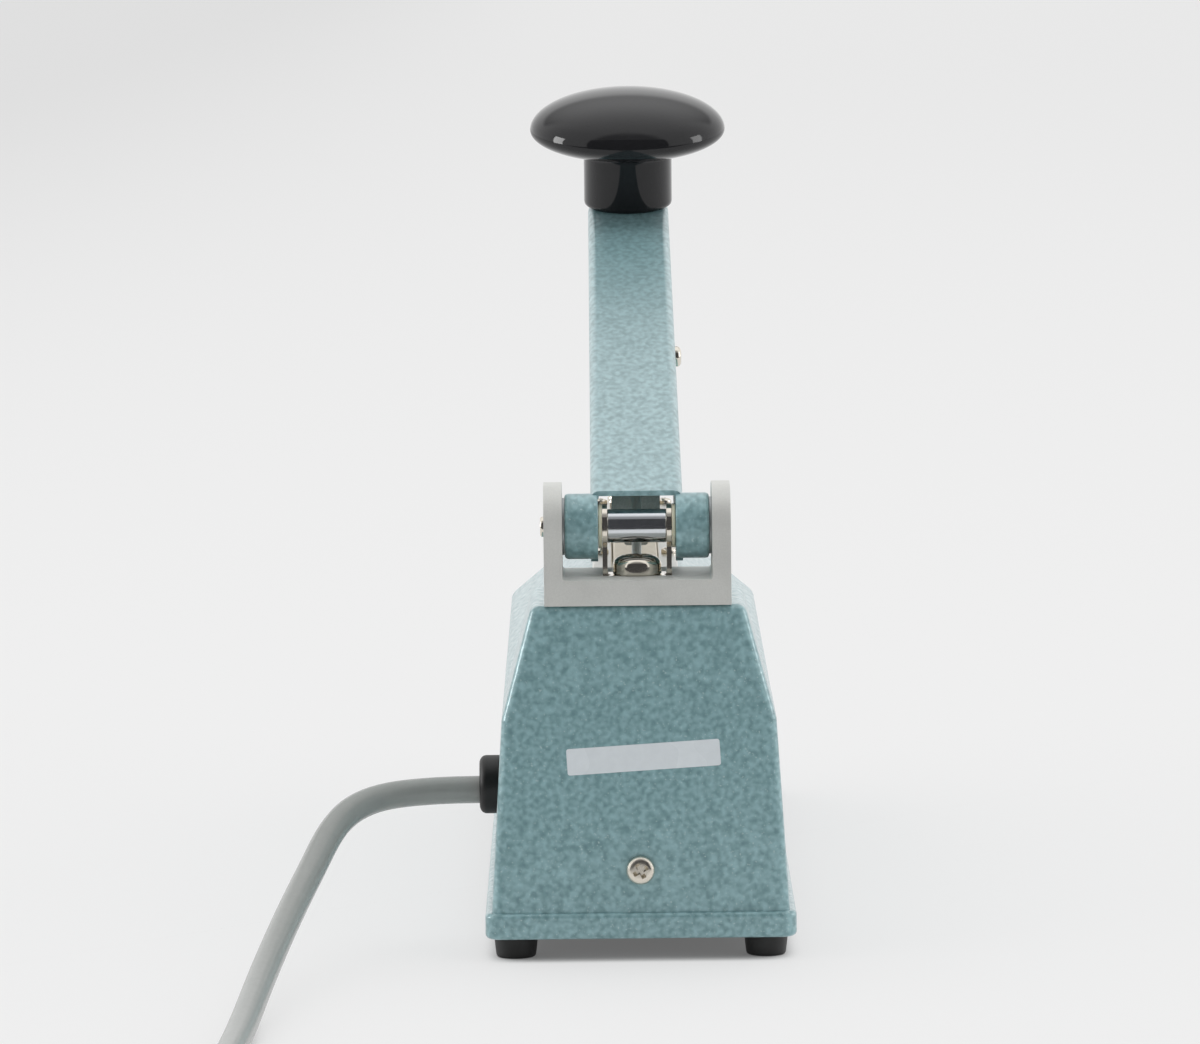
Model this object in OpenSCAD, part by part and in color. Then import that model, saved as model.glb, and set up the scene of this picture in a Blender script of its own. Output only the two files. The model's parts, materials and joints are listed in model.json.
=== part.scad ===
// Hand impulse sealer: a cast housing with a heated sealing bed, and a hinged arm that presses on it.
// Millimetres. The rear wall faces +Y, the operator sits at -Y, Z is up from the table top.

/* [Housing] */
// Length of the housing along the top of its rim
housing_l = 283; // [278:1:290]
// Width of the housing along the top of its rim
housing_w = 72.8; // [71:0.2:76]
// Width across the shoulders, where the sides turn in
shoulder_w = 67; // [65:0.5:69]
// Height of the shoulders above the table
shoulder_z = 59; // [57:0.5:61]
// Width of the flat land under the sealing bed
land_w = 26; // [25:0.5:29]
// Height of the land above the table
land_z = 76.8; // [75.6:0.2:78]
// Width of the top of the rear pedestal
pedestal_w = 52; // [49:0.5:55]
// Height of the top of the rear pedestal
pedestal_z = 87; // [86:0.2:88]
// Length of the top of the rear pedestal
pedestal_l = 42; // [41:0.5:43]
// Lean of the pedestal's front face
step_draft = 12; // [8:1:14]
// Draft of the rear wall
rear_draft = 1.5; // [1:0.1:2]
// Lean of the control panel
panel_lean = 21; // [19:0.5:22]
// Thickness of the casting
wall = 3; // [2.6:0.1:3.4]
// Rounding of the casting's outer edges
edge_r = 2.5; // [1.5:0.1:3]
// Height of the rim round the foot of the casting
rim_h = 6.4; // [5.6:0.1:7]
// Overhang of the rim
rim_lip = 1.6; // [1.2:0.1:2]

/* [Base plate and feet] */
// Height of the rubber feet
foot_h = 5.6; // [4.6:0.1:7]
// Diameter of a foot where it meets the plate
foot_d = 10.8; // [10:0.2:12]
// Distance of the feet from the rim's sides
foot_side = 7.4; // [7.2:0.1:9]
// Distance of the feet from the rear wall and from the panel
foot_end = 9; // [8.5:0.5:12]
// Thickness of the steel base plate
plate_t = 1.2; // [1:0.1:1.5]
// Width of the upturned tab that takes the cover screw
tab_w = 16; // [12:1:20]
// Height of the cover screw above the rim
cover_screw_z = 10.4; // [9:0.2:14]

/* [Pivot] */
// Outer width of the pivot bracket
bracket_w = 45.5; // [45:0.1:47]
// Wall of the pivot bracket
bracket_wall = 4.5; // [4:0.1:4.7]
// Base thickness of the pivot bracket
bracket_base_t = 6.2; // [5.7:0.1:6.5]
// Depth of the pivot bracket
bracket_l = 28; // [26:0.5:28]
// Height of the axle above the pedestal
axle_h = 18; // [17.5:0.1:19]
// Diameter of the axle
axle_d = 5; // [4.5:0.1:5.5]
// Length of the axle end that stands proud of the bracket
axle_proud = 0.9; // [0.5:0.1:1.5]
// Rounding of the bracket ears, also their height above the axle
ear_r = 10.5; // [9.5:0.1:11.5]
// Outer width of the steel yoke
yoke_w = 16.9; // [16.4:0.1:17.4]
// Thickness of the yoke strip
yoke_t = 1.2; // [1:0.1:1.5]
// Depth of the yoke's foot
yoke_l = 8.5; // [8:0.1:9]
// Depth of the yoke's legs
yoke_leg_l = 4.2; // [3.8:0.1:5]
// Outer diameter of the yoke's eyes
yoke_eye_d = 10.8; // [10:0.2:12]
// Outer diameter of the spacer tube on the axle
spacer_d = 8.2; // [7.5:0.1:9]
// Thickness of the thrust washers beside the arm
thrust_t = 0.5; // [0.4:0.05:0.6]

/* [Arm] */
// Distance from the axle to the knob's centre line
arm_l = 290; // [285:1:295]
// Width of the arm
arm_w = 22.5; // [22:0.1:23]
// Wall of the arm
arm_wall = 1.75; // [1.5:0.05:1.9]
// Thickness of the arm's top
arm_top_t = 1.3; // [1.2:0.1:1.6]
// Height of the arm's top above the axle
arm_top = 8.9; // [8.6:0.1:9.4]
// Depth of the arm's sides below the axle at the rear
arm_skirt = 9; // [8.5:0.1:9.5]
// Depth of the arm's sides below the axle at the front
arm_skirt_front = 7; // [6.5:0.1:8]
// Rounding of the arm's top edges
arm_r = 2.2; // [1.5:0.1:2.6]
// Diameter of the hinge bosses
boss_d = 16; // [15:0.2:16.6]
// Angle of the raised arm
open_angle = 10.1; // [9.6:0.1:10.6]

/* [Knob] */
// Diameter of the knob's dome
knob_d = 54.6; // [50:0.2:58]
// Height of the dome's widest line above the arm
knob_eq_h = 21.7; // [20:0.1:24]
// Height of the dome above its widest line
knob_up_h = 10.7; // [9:0.1:12]
// Depth of the dome's underside below its widest line
knob_low_h = 6.7; // [5:0.1:7]
// Diameter of the knob's stem
stem_d = 24.7; // [23:0.1:26]

/* [Sealing bed] */
// Length of the aluminium rail
rail_l = 196; // [190:0.5:197]
// Width of the rail's base
rail_w = 22; // [21:0.2:23]
// Height of the rail's base
rail_base_h = 7.5; // [7:0.1:8]
// Width of the rail's ridge
ridge_w = 10.6; // [10:0.1:11]
// Height of the rail's ridge
ridge_h = 4; // [3.8:0.1:4.4]
// Length of the insulating end blocks
end_block_l = 6; // [5.6:0.1:6.2]
// Thickness of the insulating tape
tape_t = 0.3; // [0.2:0.05:0.4]
// Width of the heating ribbon
ribbon_w = 2; // [1.5:0.1:3]
// Thickness of the heating ribbon
ribbon_t = 0.15; // [0.1:0.01:0.2]
// Thickness of the cover cloth
cloth_t = 0.25; // [0.15:0.01:0.3]
// Thickness of the strips that hold the cloth
strip_t = 1.5; // [1.2:0.1:1.6]

/* [Presser] */
// Length of the presser bar
presser_l = 200; // [190:1:201]
// Width of the presser bar
presser_w = 12; // [11:0.2:13]
// Height of the presser bar
presser_h = 11.5; // [11.2:0.1:12]
// Width of the silicone rubber
rubber_w = 6; // [5:0.1:7]
// Height of the silicone rubber that stands out of the bar
rubber_out = 3; // [2.6:0.1:3.4]
// Distance from the axle to the flush pin through the arm
pin_u = 70; // [60:1:80]
// Distance from the axle to the screw through the arm
cross_screw_u = 175; // [165:1:185]

/* [Lift rod and switch] */
// Distance from the axle to the lift rod
rod_u = 20; // [19.7:0.1:20.4]
// Diameter of the lift rod
rod_d = 2.4; // [2.2:0.1:2.6]
// Diameter of the rod's head
rod_head_d = 6.4; // [6:0.1:7]
// Wire of the lift spring
spring_wire = 0.7; // [0.6:0.05:0.8]
// Mean diameter of the lift spring
spring_d = 5.6; // [5.4:0.1:6]
// Turns of the lift spring
spring_turns = 4; // [3:1:5]
// Stroke of the lift rod from raised to closed arm
rod_stroke = 3.67; // [3.6:0.01:3.8]
// Stroke of the switch button
button_stroke = 1; // [0.8:0.1:1.2]

/* [Front panel] */
// Height of the timer dial's centre up the panel
dial_h = 27; // [25:0.5:29]
// Diameter of the timer dial
dial_d = 34; // [30:0.5:36]
// Height of the timer dial
dial_t = 15; // [14:0.5:17]
// Distance of the lamp from the middle of the panel
lamp_x = 25; // [24:0.5:26]
// Height of the lamp up the panel
lamp_h = 41; // [39:0.5:42]
// Diameter of the lamp's bezel
lamp_d = 10; // [9:0.2:11]

/* [Electrics] */
// Length of the transformer's core along the housing
core_l = 57; // [50:0.5:60]
// Height of the transformer's core
core_h = 47.5; // [42:0.5:49]
// Stack of the transformer's core
core_stack = 30; // [26:0.5:32]
// Distance from the rear wall to the transformer's middle
core_u = 105; // [100:1:115]
// Length of the timer board along the housing
board_l = 60; // [50:1:65]
// Width of the timer board
board_w = 44; // [38:1:48]
// Distance from the rear wall to the board's middle
board_u = 200; // [195:1:205]
// Height of the board's spacers
board_spacer_h = 9; // [7:0.5:12]

/* [Cord] */
// Diameter of the cord
cord_d = 6.8; // [6:0.1:7.2]
// Distance from the rear wall to the cord grommet
grommet_u = 27; // [24:0.5:30]
// Height of the cord grommet above the table
grommet_z = 40; // [38:0.5:42]
// Diameter of the cord grommet
grommet_d = 14.4; // [14:0.2:15]
// How far below the grommet's middle the cord passes
cord_drop = 1.3; // [0:0.1:1.5]
// Length of the grommet outside its seat
grommet_out = 5.1; // [4:0.1:6]
// Outer radius of the coil, at the middle of its outermost turn
coil_r = 46.5; // [44:0.5:50]

/* [Hidden] */
$fn = 64;
hull_fn = 24;
arm_fn = 20;

// Colours of the materials
paint = "#84a0a3";
aluminium = "#b4b7b4";
nickel = "#c9c6bd";
steel = "#9a9c9e";
black_plastic = "#2b2c2f";
rubber = "#2c2c2c";
cream = "#efe9d2";
brass = "#b99b52";
phenolic = "#7a4a2c";
copper = "#a8633a";
board_green = "#3d6b4a";
cord_grey = "#8f9694";

// Clearances: fitted bores, threads in their holes, holes that screws pass, flat faces side by side, and
// seats against the inside of the casting
bore_fit = 0.05;
thread_fit = 0.02;
hole_play = 0.3;
side_play = 0.05;
seat_play = 0.03;
close_gap = 0.3;
rod_gap = 0.35;
eps = 0.01;

// Screw sizes: thread, head diameter, head height
m3_d = 3;
m3_head_d = 5.5;
m3_head_h = 2;
m3_nut_af = 5.5;
m3_nut_h = 2.4;
m4_d = 4;
m4_head_d = 7;
m4_head_h = 2.6;
m6_d = 6;
m6_head_d = 12;
m6_head_h = 4.6;
m6_nut_af = 10;
m6_nut_h = 5;
recess_share = 0.55;
recess_t = 0.16;
head_round = 0.36;
head_rise = 0.5;
screw_end = 1.5;
screw_long_end = 3;

// Heights of the foot, plate and rim: the plate lies in the casting's mouth, level with the foot of the rim
rim_z0 = foot_h;
rim_z1 = rim_z0 + rim_h;
plate_top = foot_h + plate_t;
rim_corner_r = 4;
rim_edge_r = 1.2;
cavity_r = 1;
side_slope = (housing_w - shoulder_w) / 2 / (shoulder_z - rim_z1);

// Lengths along the table: the origin lies midway between the rim's rear edge and the front of the knob
axle_z = pedestal_z + axle_h;
rear_top_u = (pedestal_z - rim_z1) * tan(rear_draft);
axle_u = rear_top_u + bracket_l / 2;
knob_eq_v = arm_top + knob_eq_h;
knob_half_reach = norm([knob_d / 2 * cos(open_angle), knob_low_h * sin(open_angle)]);
knob_reach = arm_l * cos(open_angle) - knob_eq_v * sin(open_angle) + knob_half_reach;
rear_y = (axle_u + knob_reach - rim_lip) / 2;
front_y = rear_y - housing_l;
axle_y = rear_y - axle_u;
rod_y = axle_y - rod_u;

// Sealing bed: rear end block against the pedestal's step, then the rail, then the front end block
bed_gap = 0.6;
bed_rear_y = step_y(land_z) - bed_gap;
rail_rear_y = bed_rear_y - end_block_l;
rail_mid_y = rail_rear_y - rail_l / 2;
rail_front_y = rail_rear_y - rail_l;
rail_shoulder_z = land_z + rail_base_h;
ridge_z = rail_shoulder_z + ridge_h;
ribbon_z = ridge_z + tape_t;
tape_margin = 0.3;
tape_w = ridge_w - 2 * tape_margin;
cloth_z = ribbon_z + ribbon_t + side_play;
bed_top_z = cloth_z + cloth_t;
cloth_half = ridge_w / 2 + side_play + cloth_t;
cloth_flap = 1.3;
cloth_margin = 2;
cloth_l = rail_l - 2 * cloth_margin;
strip_inner = cloth_half + hole_play;
strip_margin = 0.2;
strip_outer = rail_w / 2 - strip_margin;
strip_z = rail_shoulder_z + side_play + cloth_t + side_play;
strip_screw_d = 2.6;
strip_screw_head_d = 4;
strip_screw_head_h = 1.5;
strip_screw_x = strip_outer - strip_screw_head_d / 2;
strip_screw_count = 4;
strip_screw_in = 6;
strip_screw_step = (cloth_l - 2 * strip_screw_in) / (strip_screw_count - 1);
rail_screw_step = 68;
rail_screw_short = 0.5;
clamp_x = 4;
clamp_w = 14;
clamp_t = 1.2;
clamp_l = 5;
terminal_bush_d = 6;
terminal_bush_flange_d = 7.2;
terminal_bush_flange_t = 2;
land_under_z = land_z - wall - seat_play;

// Arm, presser bar and knob, in the arm's own frame: y forward is negative, the axle is the origin
arm_under = arm_top - arm_top_t;
arm_inner = arm_w - 2 * arm_wall;
boss_w = bracket_w - 2 * bracket_wall - 2 * (thrust_t + 2 * side_play);
face_v = bed_top_z + close_gap - axle_z;
presser_v0 = face_v + rubber_out;
presser_v1 = presser_v0 + presser_h;
presser_over = 2;
presser_mid_u = axle_y - rail_rear_y - presser_over + presser_l / 2;
rubber_in = 3;
rib_t = 2.5;
rib_in = 12;
rib_u = [presser_mid_u - presser_l / 2 + rib_in, presser_mid_u + presser_l / 2 - rib_in];
cross_v = -4.6;
knob_seat_d = 16;
knob_seat_t = 7;
knob_thread_l = 14;

// Lift rod, spring and switch, from the raised arm's underside down
rod_top_z = axle_z + rod_u * tan(open_angle) + arm_under / cos(open_angle) - rod_gap;
rod_dome_r = 9;
rod_head_t = 3.2;
rod_head_z = rod_top_z - rod_head_t;
bush_d = 7;
bush_flange_d = 11;
bush_flange_t = 2;
bush_l = 5;
bush_low_z = pedestal_z - bush_l;
clip_t = 0.8;
clip_d = 8;
clip_z = bush_low_z - close_gap - clip_t;
rod_tail = 5;
rod_end_z = clip_z - rod_tail;
button_z1 = rod_end_z - rod_stroke + button_stroke - close_gap;
button_in = 1.3;
button_h = button_in + button_stroke;
button_d = 3.4;
switch_z1 = button_z1 - button_h + button_stroke;
spring_z0 = switch_z1 + side_play;
spring_z1 = clip_z - side_play;
switch_w = 28;
switch_l = 10.3;
switch_h = 16;
switch_off = 5;
switch_hole_step = 22.2;
switch_hole_drop = 13;
switch_hole_z = switch_z1 - switch_hole_drop;
switch_plate_t = 1.2;
switch_plate_w = 30;
switch_plate_low = 4;
ceiling_z = pedestal_z - wall - seat_play;
switch_back_y = rod_y + switch_l / 2;
switch_rear_margin = 8;

// Control panel: potentiometer, dial and lamp, in the panel's own frame
pot_seat = wall + seat_play;
pot_d = 17;
pot_l = 9;
pot_bush_d = 7;
pot_bush_out = 4.5;
pot_nut_af = 10;
pot_nut_t = 2.4;
pot_shaft_d = 6;
dial_gap = 0.6;
dial_recess_d = 15;
dial_recess_t = pot_bush_out + dial_gap;
dial_flutes = 18;
dial_flute_d = 3;
dial_skirt_t = 3;
dial_taper = 3;
dial_bevel = 1;
dial_draft = 0.6;
dial_flute_out = 0.2;
dial_flute_up = 0.5;
lamp_hole_d = 8;
lamp_lip = 1.6;
lamp_len = 16;
lens_d = 6.6;
lens_seat = 0.8;
lens_dome_d = 8;
lens_sink = 0.8;

// Transformer and board
core_leg = core_l / 3;
core_yoke = core_l / 6;
coil_out = 9;
coil_play = 0.4;
strap_t = 1.2;
strap_foot = 10;
core_y = rear_y - core_u;
board_y = rear_y - board_u;
board_t = 1.6;
board_z = plate_top + board_spacer_h;
board_hole_in = 4;
board_spacer_d = 6;
board_screw_short = 2;

// Grommet and cord: the route is given from the grommet's face as out, back and height above the table
grommet_y = rear_y - grommet_u;
grommet_seat_x = side_x(grommet_z + grommet_d / 2);
grommet_face_x = grommet_seat_x + grommet_out;
cord_exit_z = grommet_z - cord_drop;
grommet_neck_d = 11;
grommet_lip_d = 12.6;
grommet_lip_t = 1.5;
grommet_lip_z = wall + grommet_lip_d / 2 * side_slope + hole_play;
cord_tail_x = 18;
cord_sides = 10;
cord_route = [
    [0, 0, cord_exit_z], [7, 0, cord_exit_z], [14, 0.5, 38.4], [21, 2.5, 38.2], [28, 6.5, 37.1],
    [33.6, 12.5, 34.5], [37.2, 20.5, 30.2], [39.6, 29, 25.7], [42, 38, 21.9], [44.9, 54, 17.5],
    [47.8, 75, 12.8], [50.6, 102, 8.2], [52.4, 133, 5], [53.8, 155, 3.7], [55, 178, 3.6],
    [56, 200, 3.7], [56.7, 225, 4], [57, 250, 4.4], [57, 268, 4.5], [57, 278, 4.5]
];
cord_end = [
    grommet_face_x + cord_route[len(cord_route) - 1][0],
    grommet_y + cord_route[len(cord_route) - 1][1],
    cord_route[len(cord_route) - 1][2]
];

// Cord coil: spirals in on the table, climbs a layer in the half turn where it reverses, spirals out
coil_side_gap = 0.6;
coil_layer_gap = 0.5;
coil_step = cord_d + coil_side_gap;
coil_layer = cord_d + coil_layer_gap;
coil_turn = 1890;
coil_climb = 180;
coil_ring = 15;
exit_run = 22;
coil_sides = 6;
coil_x = cord_end[0] - coil_r;
coil_y = cord_end[1] + cord_d;
coil_top_z = cord_end[2] + coil_layer;
tie_t = 0.8;
tie_w = 9;
tie_play = 0.4;
tie_corner_r = 2.5;
tie_turn = 180;
tie_last_turn = tie_turn + 2 * 360;
tie_in_r = coil_radius(tie_last_turn) - cord_d / 2 - tie_play;
tie_out_r = coil_radius(tie_turn) + cord_d / 2 + tie_play;

// Plug: a round body that lies on the table, on the line of the coil's last turn
plug_relief_l = 16;
plug_relief_d0 = 9.4;
plug_relief_d1 = 13;
plug_body_l = 34;
plug_neck_d = 19;
plug_swell_l = 12;
plug_edge = 1.5;
plug_d = 2 * coil_top_z;
plug_x = coil_x - exit_run;
plug_y = coil_y + coil_r;
blade_w = 6.4;
blade_t = 1.5;
blade_l = 17;
blade_step = 12.7;

// Walls of the casting at a height above the table
function side_x(z) = housing_w / 2 - (z - rim_z1) * side_slope;
function rear_wall_y(z) = rear_y - (z - rim_z1) * tan(rear_draft);
function panel_y(z) = front_y + (z - rim_z1) * tan(panel_lean);
function step_y(z) = rear_wall_y(pedestal_z) - pedestal_l - (pedestal_z - z) * tan(step_draft);

// Corner of an outline moved inwards by t from both edges that meet there
function unit(v) = v / norm(v);
function left_of(v) = [-v[1], v[0]];
function inset_corner(a, p, b, t) =
    let (n1 = left_of(unit(p - a)), n2 = left_of(unit(b - p))) p + t * (n1 + n2) / (1 + n1 * n2);

// Half section of the long body, from its foot over the shoulder to the land
function body_outline(foot) = [
    [0, foot], [side_x(foot), foot], [shoulder_w / 2, shoulder_z], [land_w / 2, land_z], [0, land_z]
];
function body_corner(foot, i, t) =
    let (o = body_outline(foot)) inset_corner(o[i], o[i + 1], o[i + 2], t);
function pedestal_corner(t) =
    inset_corner([shoulder_w / 2, shoulder_z], [pedestal_w / 2, pedestal_z], [0, pedestal_z], t);

// Cord coil by the angle wound so far
function coil_radius(a) = coil_r - coil_step * min(a, coil_turn - a) / 360;
function smooth(x) = let (t = min(max(x, 0), 1)) t * t * (3 - 2 * t);
function coil_height(a) =
    cord_end[2] + coil_layer * smooth((a - (coil_turn - coil_climb) / 2) / coil_climb);
function coil_point(a) =
    [coil_x + coil_radius(a) * cos(a), coil_y + coil_radius(a) * sin(a), coil_height(a)];
cord_points = [for (p = cord_route) [grommet_face_x + p[0], grommet_y + p[1], p[2]]];
coil_points = concat(
    [cord_end],
    [for (a = [0 : coil_ring : coil_turn]) coil_point(a)],
    [coil_point(coil_turn) - [exit_run, 0, 0]]
);

// Lift spring: a helix whose ends stand square on the switch and under the rod's clip
spring_ring = 45;
spring_sides = 6;
spring_rise = spring_z1 - spring_z0 - 2 * spring_wire;
function spring_dir(a) = [cos(a), sin(a), 0];
function spring_point(a) =
    let (z = spring_z0 + spring_wire + spring_rise * a / (360 * spring_turns))
    [0, rod_y, z] + spring_d / 2 * spring_dir(a);
spring_angles = [for (a = [0 : spring_ring : 360 * spring_turns]) a];
spring_points = concat(
    [spring_point(0) - [0, 0, spring_wire]],
    [for (a = spring_angles) spring_point(a)],
    [spring_point(360 * spring_turns) + [0, 0, spring_wire]]
);
spring_dirs = concat(
    [spring_dir(0)],
    [for (a = spring_angles) spring_dir(a)],
    [spring_dir(360 * spring_turns)]
);

// Least gap of a wound tube to itself, between points that are not neighbours along it
function least_gap(points, d) =
    let (n = len(points))
    min([for (i = [0 : n - 4]) for (j = [i + 3 : n - 1]) norm(points[i] - points[j])]) - d;
echo(coil_gap = least_gap(coil_points, cord_d), spring_gap = least_gap(spring_points, spring_wire));

// Tube swept along points, with one direction at each point that is not along the tube
function along(points, i) =
    unit(points[min(i + 1, len(points) - 1)] - points[max(i - 1, 0)]);
function tube_ring(p, t, dir, r, sides) =
    let (n = unit(dir - (dir * t) * t), b = cross(t, n))
    [for (k = [0 : sides - 1]) p + r * (cos(360 * k / sides) * n + sin(360 * k / sides) * b)];
module tube(points, dirs, d, sides) {
    last = len(points) - 1;
    rings = [for (i = [0 : last]) each tube_ring(points[i], along(points, i), dirs[i], d / 2, sides)];
    walls = [
        for (i = [0 : last - 1]) for (k = [0 : sides - 1])
        let (a = i * sides + k, b = i * sides + (k + 1) % sides)
        each [[a, a + sides, b], [b, a + sides, b + sides]]
    ];
    start = [for (k = [1 : sides - 2]) [0, k, k + 1]];
    end = [for (k = [1 : sides - 2]) [last * sides, last * sides + k + 1, last * sides + k]];
    polyhedron(rings, concat(walls, start, end), convexity = 10);
}

// Places: the rear wall's outer face, the panel's outer face, the raised arm, an axis along X
module on_rear_wall(h) {
    translate([0, rear_y, rim_z1])
        rotate([90 - rear_draft, 0, 180])
            translate([0, h, 0]) children();
}
module on_panel(x, h) {
    translate([0, front_y, rim_z1])
        rotate([90 - panel_lean, 0, 0])
            translate([x, h, 0]) children();
}
module on_arm() {
    translate([0, axle_y, axle_z])
        rotate([-open_angle, 0, 0]) children();
}
module along_x(x, y, z) {
    translate([x, y, z]) rotate([0, 90, 0]) children();
}

// Rod or bore through both sides, centred on x = 0
module cross_bar(d, l, y, z) {
    along_x(0, y, z) cylinder(d = d, h = l, center = true);
}
module ring(d, bore, t) {
    difference() {
        cylinder(d = d, h = t);
        translate([0, 0, -eps]) cylinder(d = bore, h = t + 2 * eps);
    }
}
module rounded_rect(w, l, r) {
    square([w - 2 * r, l], center = true);
    square([w, l - 2 * r], center = true);
    for (sx = [-1, 1], sy = [-1, 1])
        translate([sx * (w / 2 - r), sy * (l / 2 - r)]) circle(r);
}

// Pan-head screw with a cross recess: the head stands on z = 0, the thread points down
module pan_screw(d, l, head_d, head_h) {
    flat = 1 - head_round;
    side = 1 - head_rise;
    dome = [
        for (a = [0 : 15 : 90])
        [head_d / 2 * (flat + head_round * cos(a)), head_h * (side + head_rise * sin(a))]
    ];
    difference() {
        union() {
            rotate_extrude() polygon(concat([[0, 0], [head_d / 2, 0]], dome, [[0, head_h]]));
            translate([0, 0, -l]) cylinder(d = d, h = l + eps);
        }
        for (a = [0, 90])
            rotate(a) translate([0, 0, head_h])
                cube([head_d * recess_share, head_d * recess_t, head_h], center = true);
    }
}
module hex_nut(bore, af, h) {
    difference() {
        cylinder(d = af / cos(30), h = h, $fn = 6);
        translate([0, 0, -eps]) cylinder(d = bore, h = h + 2 * eps);
    }
}

// Casting
module body_form(foot, t, r) {
    hull() for (i = [0 : 2], sx = [-1, 1]) {
        c = body_corner(foot, i, t + r);
        translate([sx * c[0], rear_wall_y(c[1]) - (t + r) / cos(rear_draft), c[1]])
            sphere(r, $fn = hull_fn);
        translate([sx * c[0], panel_y(c[1]) + (t + r) / cos(panel_lean), c[1]])
            sphere(r, $fn = hull_fn);
    }
}
module pedestal_form(t, r) {
    hull() for (c = [body_corner(rim_z0, 1, t + r), pedestal_corner(t + r)], sx = [-1, 1]) {
        translate([sx * c[0], rear_wall_y(c[1]) - (t + r) / cos(rear_draft), c[1]])
            sphere(r, $fn = hull_fn);
        translate([sx * c[0], step_y(c[1]) + (t + r) / cos(step_draft), c[1]])
            sphere(r, $fn = hull_fn);
    }
}
module rim_form() {
    hull() for (sx = [-1, 1], y = [rear_y + rim_lip - rim_corner_r, front_y - rim_lip + rim_corner_r])
        translate([sx * (housing_w / 2 + rim_lip - rim_corner_r), y, rim_z0]) {
            cylinder(r = rim_corner_r, h = rim_h - rim_edge_r, $fn = hull_fn);
            cylinder(r = rim_corner_r - rim_edge_r, h = rim_h, $fn = hull_fn);
        }
}
tongue_w = 12;
tongue_x = 18;
tongue_lift = 1.6;
tongue_z = plate_top + tongue_lift;
tongue_reach = 2.2;
tongue_y = panel_y(tongue_z + plate_t) + wall / cos(panel_lean) + hole_play;
module tongues(play) {
    for (sx = [-1, 1])
        translate([sx * tongue_x - tongue_w / 2 - play, tongue_y - tongue_reach - play, tongue_z - play])
            cube([tongue_w + 2 * play, tongue_reach + plate_t + play, plate_t + 2 * play]);
}
module housing() {
    color(paint) difference() {
        union() {
            body_form(rim_z0, 0, edge_r);
            pedestal_form(0, edge_r);
            rim_form();
        }
        body_form(rim_z0 - wall - 2 * cavity_r, wall, cavity_r);
        pedestal_form(wall, cavity_r);
        tongues(hole_play);
        translate([0, axle_y, ceiling_z - wall]) cylinder(d = m6_d + 2 * hole_play, h = 3 * wall);
        translate([0, rod_y, ceiling_z - wall]) cylinder(d = bush_d + 2 * thread_fit, h = 3 * wall);
        on_rear_wall(cover_screw_z) cylinder(d = m4_d + 2 * hole_play, h = 3 * wall, center = true);
        on_panel(0, dial_h) cylinder(d = pot_bush_d + 2 * bore_fit, h = 3 * wall, center = true);
        on_panel(lamp_x, lamp_h) cylinder(d = lamp_hole_d + 2 * bore_fit, h = 3 * wall, center = true);
        along_x(grommet_seat_x, grommet_y, grommet_z) cylinder(d = grommet_d + 2 * bore_fit, h = 2 * wall);
        along_x(grommet_seat_x, grommet_y, grommet_z)
            cylinder(d = grommet_neck_d + 2 * bore_fit, h = 3 * wall, center = true);
        rail_screw_places() cylinder(d = m4_d + 2 * hole_play, h = 3 * wall, center = true);
        terminal_places() translate([0, 0, land_z])
            cylinder(d = terminal_bush_d + 2 * bore_fit, h = 3 * wall, center = true);
    }
}

// Base plate with a tab for the cover screw at the rear and two tongues that hook in the front wall
plate_corner_r = 2;
plate_half_w = side_x(plate_top) - wall * norm([1, side_slope]) - hole_play;
plate_rear_y = rear_wall_y(plate_top) - wall / cos(rear_draft) - hole_play;
plate_front_y = panel_y(plate_top) + wall / cos(panel_lean) + hole_play;
tab_top = 7;
tab_depth = wall + hole_play;
foot_x = housing_w / 2 + rim_lip - foot_side;
foot_places = [for (sx = [-1, 1], y = [rear_y - foot_end, front_y + foot_end]) [sx * foot_x, y]];
module base_plate() {
    color(steel) difference() {
        union() {
            translate([0, (plate_rear_y + plate_front_y) / 2, foot_h]) linear_extrude(plate_t)
                rounded_rect(2 * plate_half_w, plate_rear_y - plate_front_y, plate_corner_r);
            on_rear_wall(plate_t / 2 - rim_h)
                translate([-tab_w / 2, 0, -tab_depth - plate_t])
                    cube([tab_w, rim_h - plate_t / 2 + cover_screw_z + tab_top, plate_t]);
            tongues(0);
            for (sx = [-1, 1])
                translate([sx * tongue_x - tongue_w / 2, tongue_y, plate_top - eps])
                    cube([tongue_w, plate_t, tongue_z + plate_t - plate_top]);
        }
        on_rear_wall(cover_screw_z) translate([0, 0, -tab_depth - 2 * plate_t])
            cylinder(d = m4_d + 2 * thread_fit, h = 3 * plate_t);
        for (p = foot_places)
            translate([p[0], p[1], foot_h - plate_t])
                cylinder(d = m3_d + 2 * thread_fit, h = 3 * plate_t);
        strap_screw_places() cylinder(d = m4_d + 2 * thread_fit, h = 4 * plate_t, center = true);
    }
}
module cover_screw() {
    color(nickel) on_rear_wall(cover_screw_z)
        pan_screw(m4_d, tab_depth + plate_t + screw_long_end, m4_head_d, m4_head_h);
}
foot_taper = 0.6;
foot_edge = 0.8;
foot_well_d = 6.4;
foot_well_h = 3;
module rubber_feet() {
    low_r = foot_d / 2 - foot_taper;
    hole_r = m3_d / 2 + hole_play;
    color(rubber) for (p = foot_places)
        translate([p[0], p[1], 0]) rotate_extrude() polygon([
            [foot_well_d / 2, 0], [low_r - foot_edge, 0], [low_r, foot_edge], [foot_d / 2, foot_h],
            [hole_r, foot_h], [hole_r, foot_well_h], [foot_well_d / 2, foot_well_h]
        ]);
}
module foot_screws() {
    color(nickel) for (p = foot_places)
        translate([p[0], p[1], foot_well_h]) rotate([180, 0, 0])
            pan_screw(m3_d, plate_top + screw_end - foot_well_h, m3_head_d, m3_head_h);
}

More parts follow.
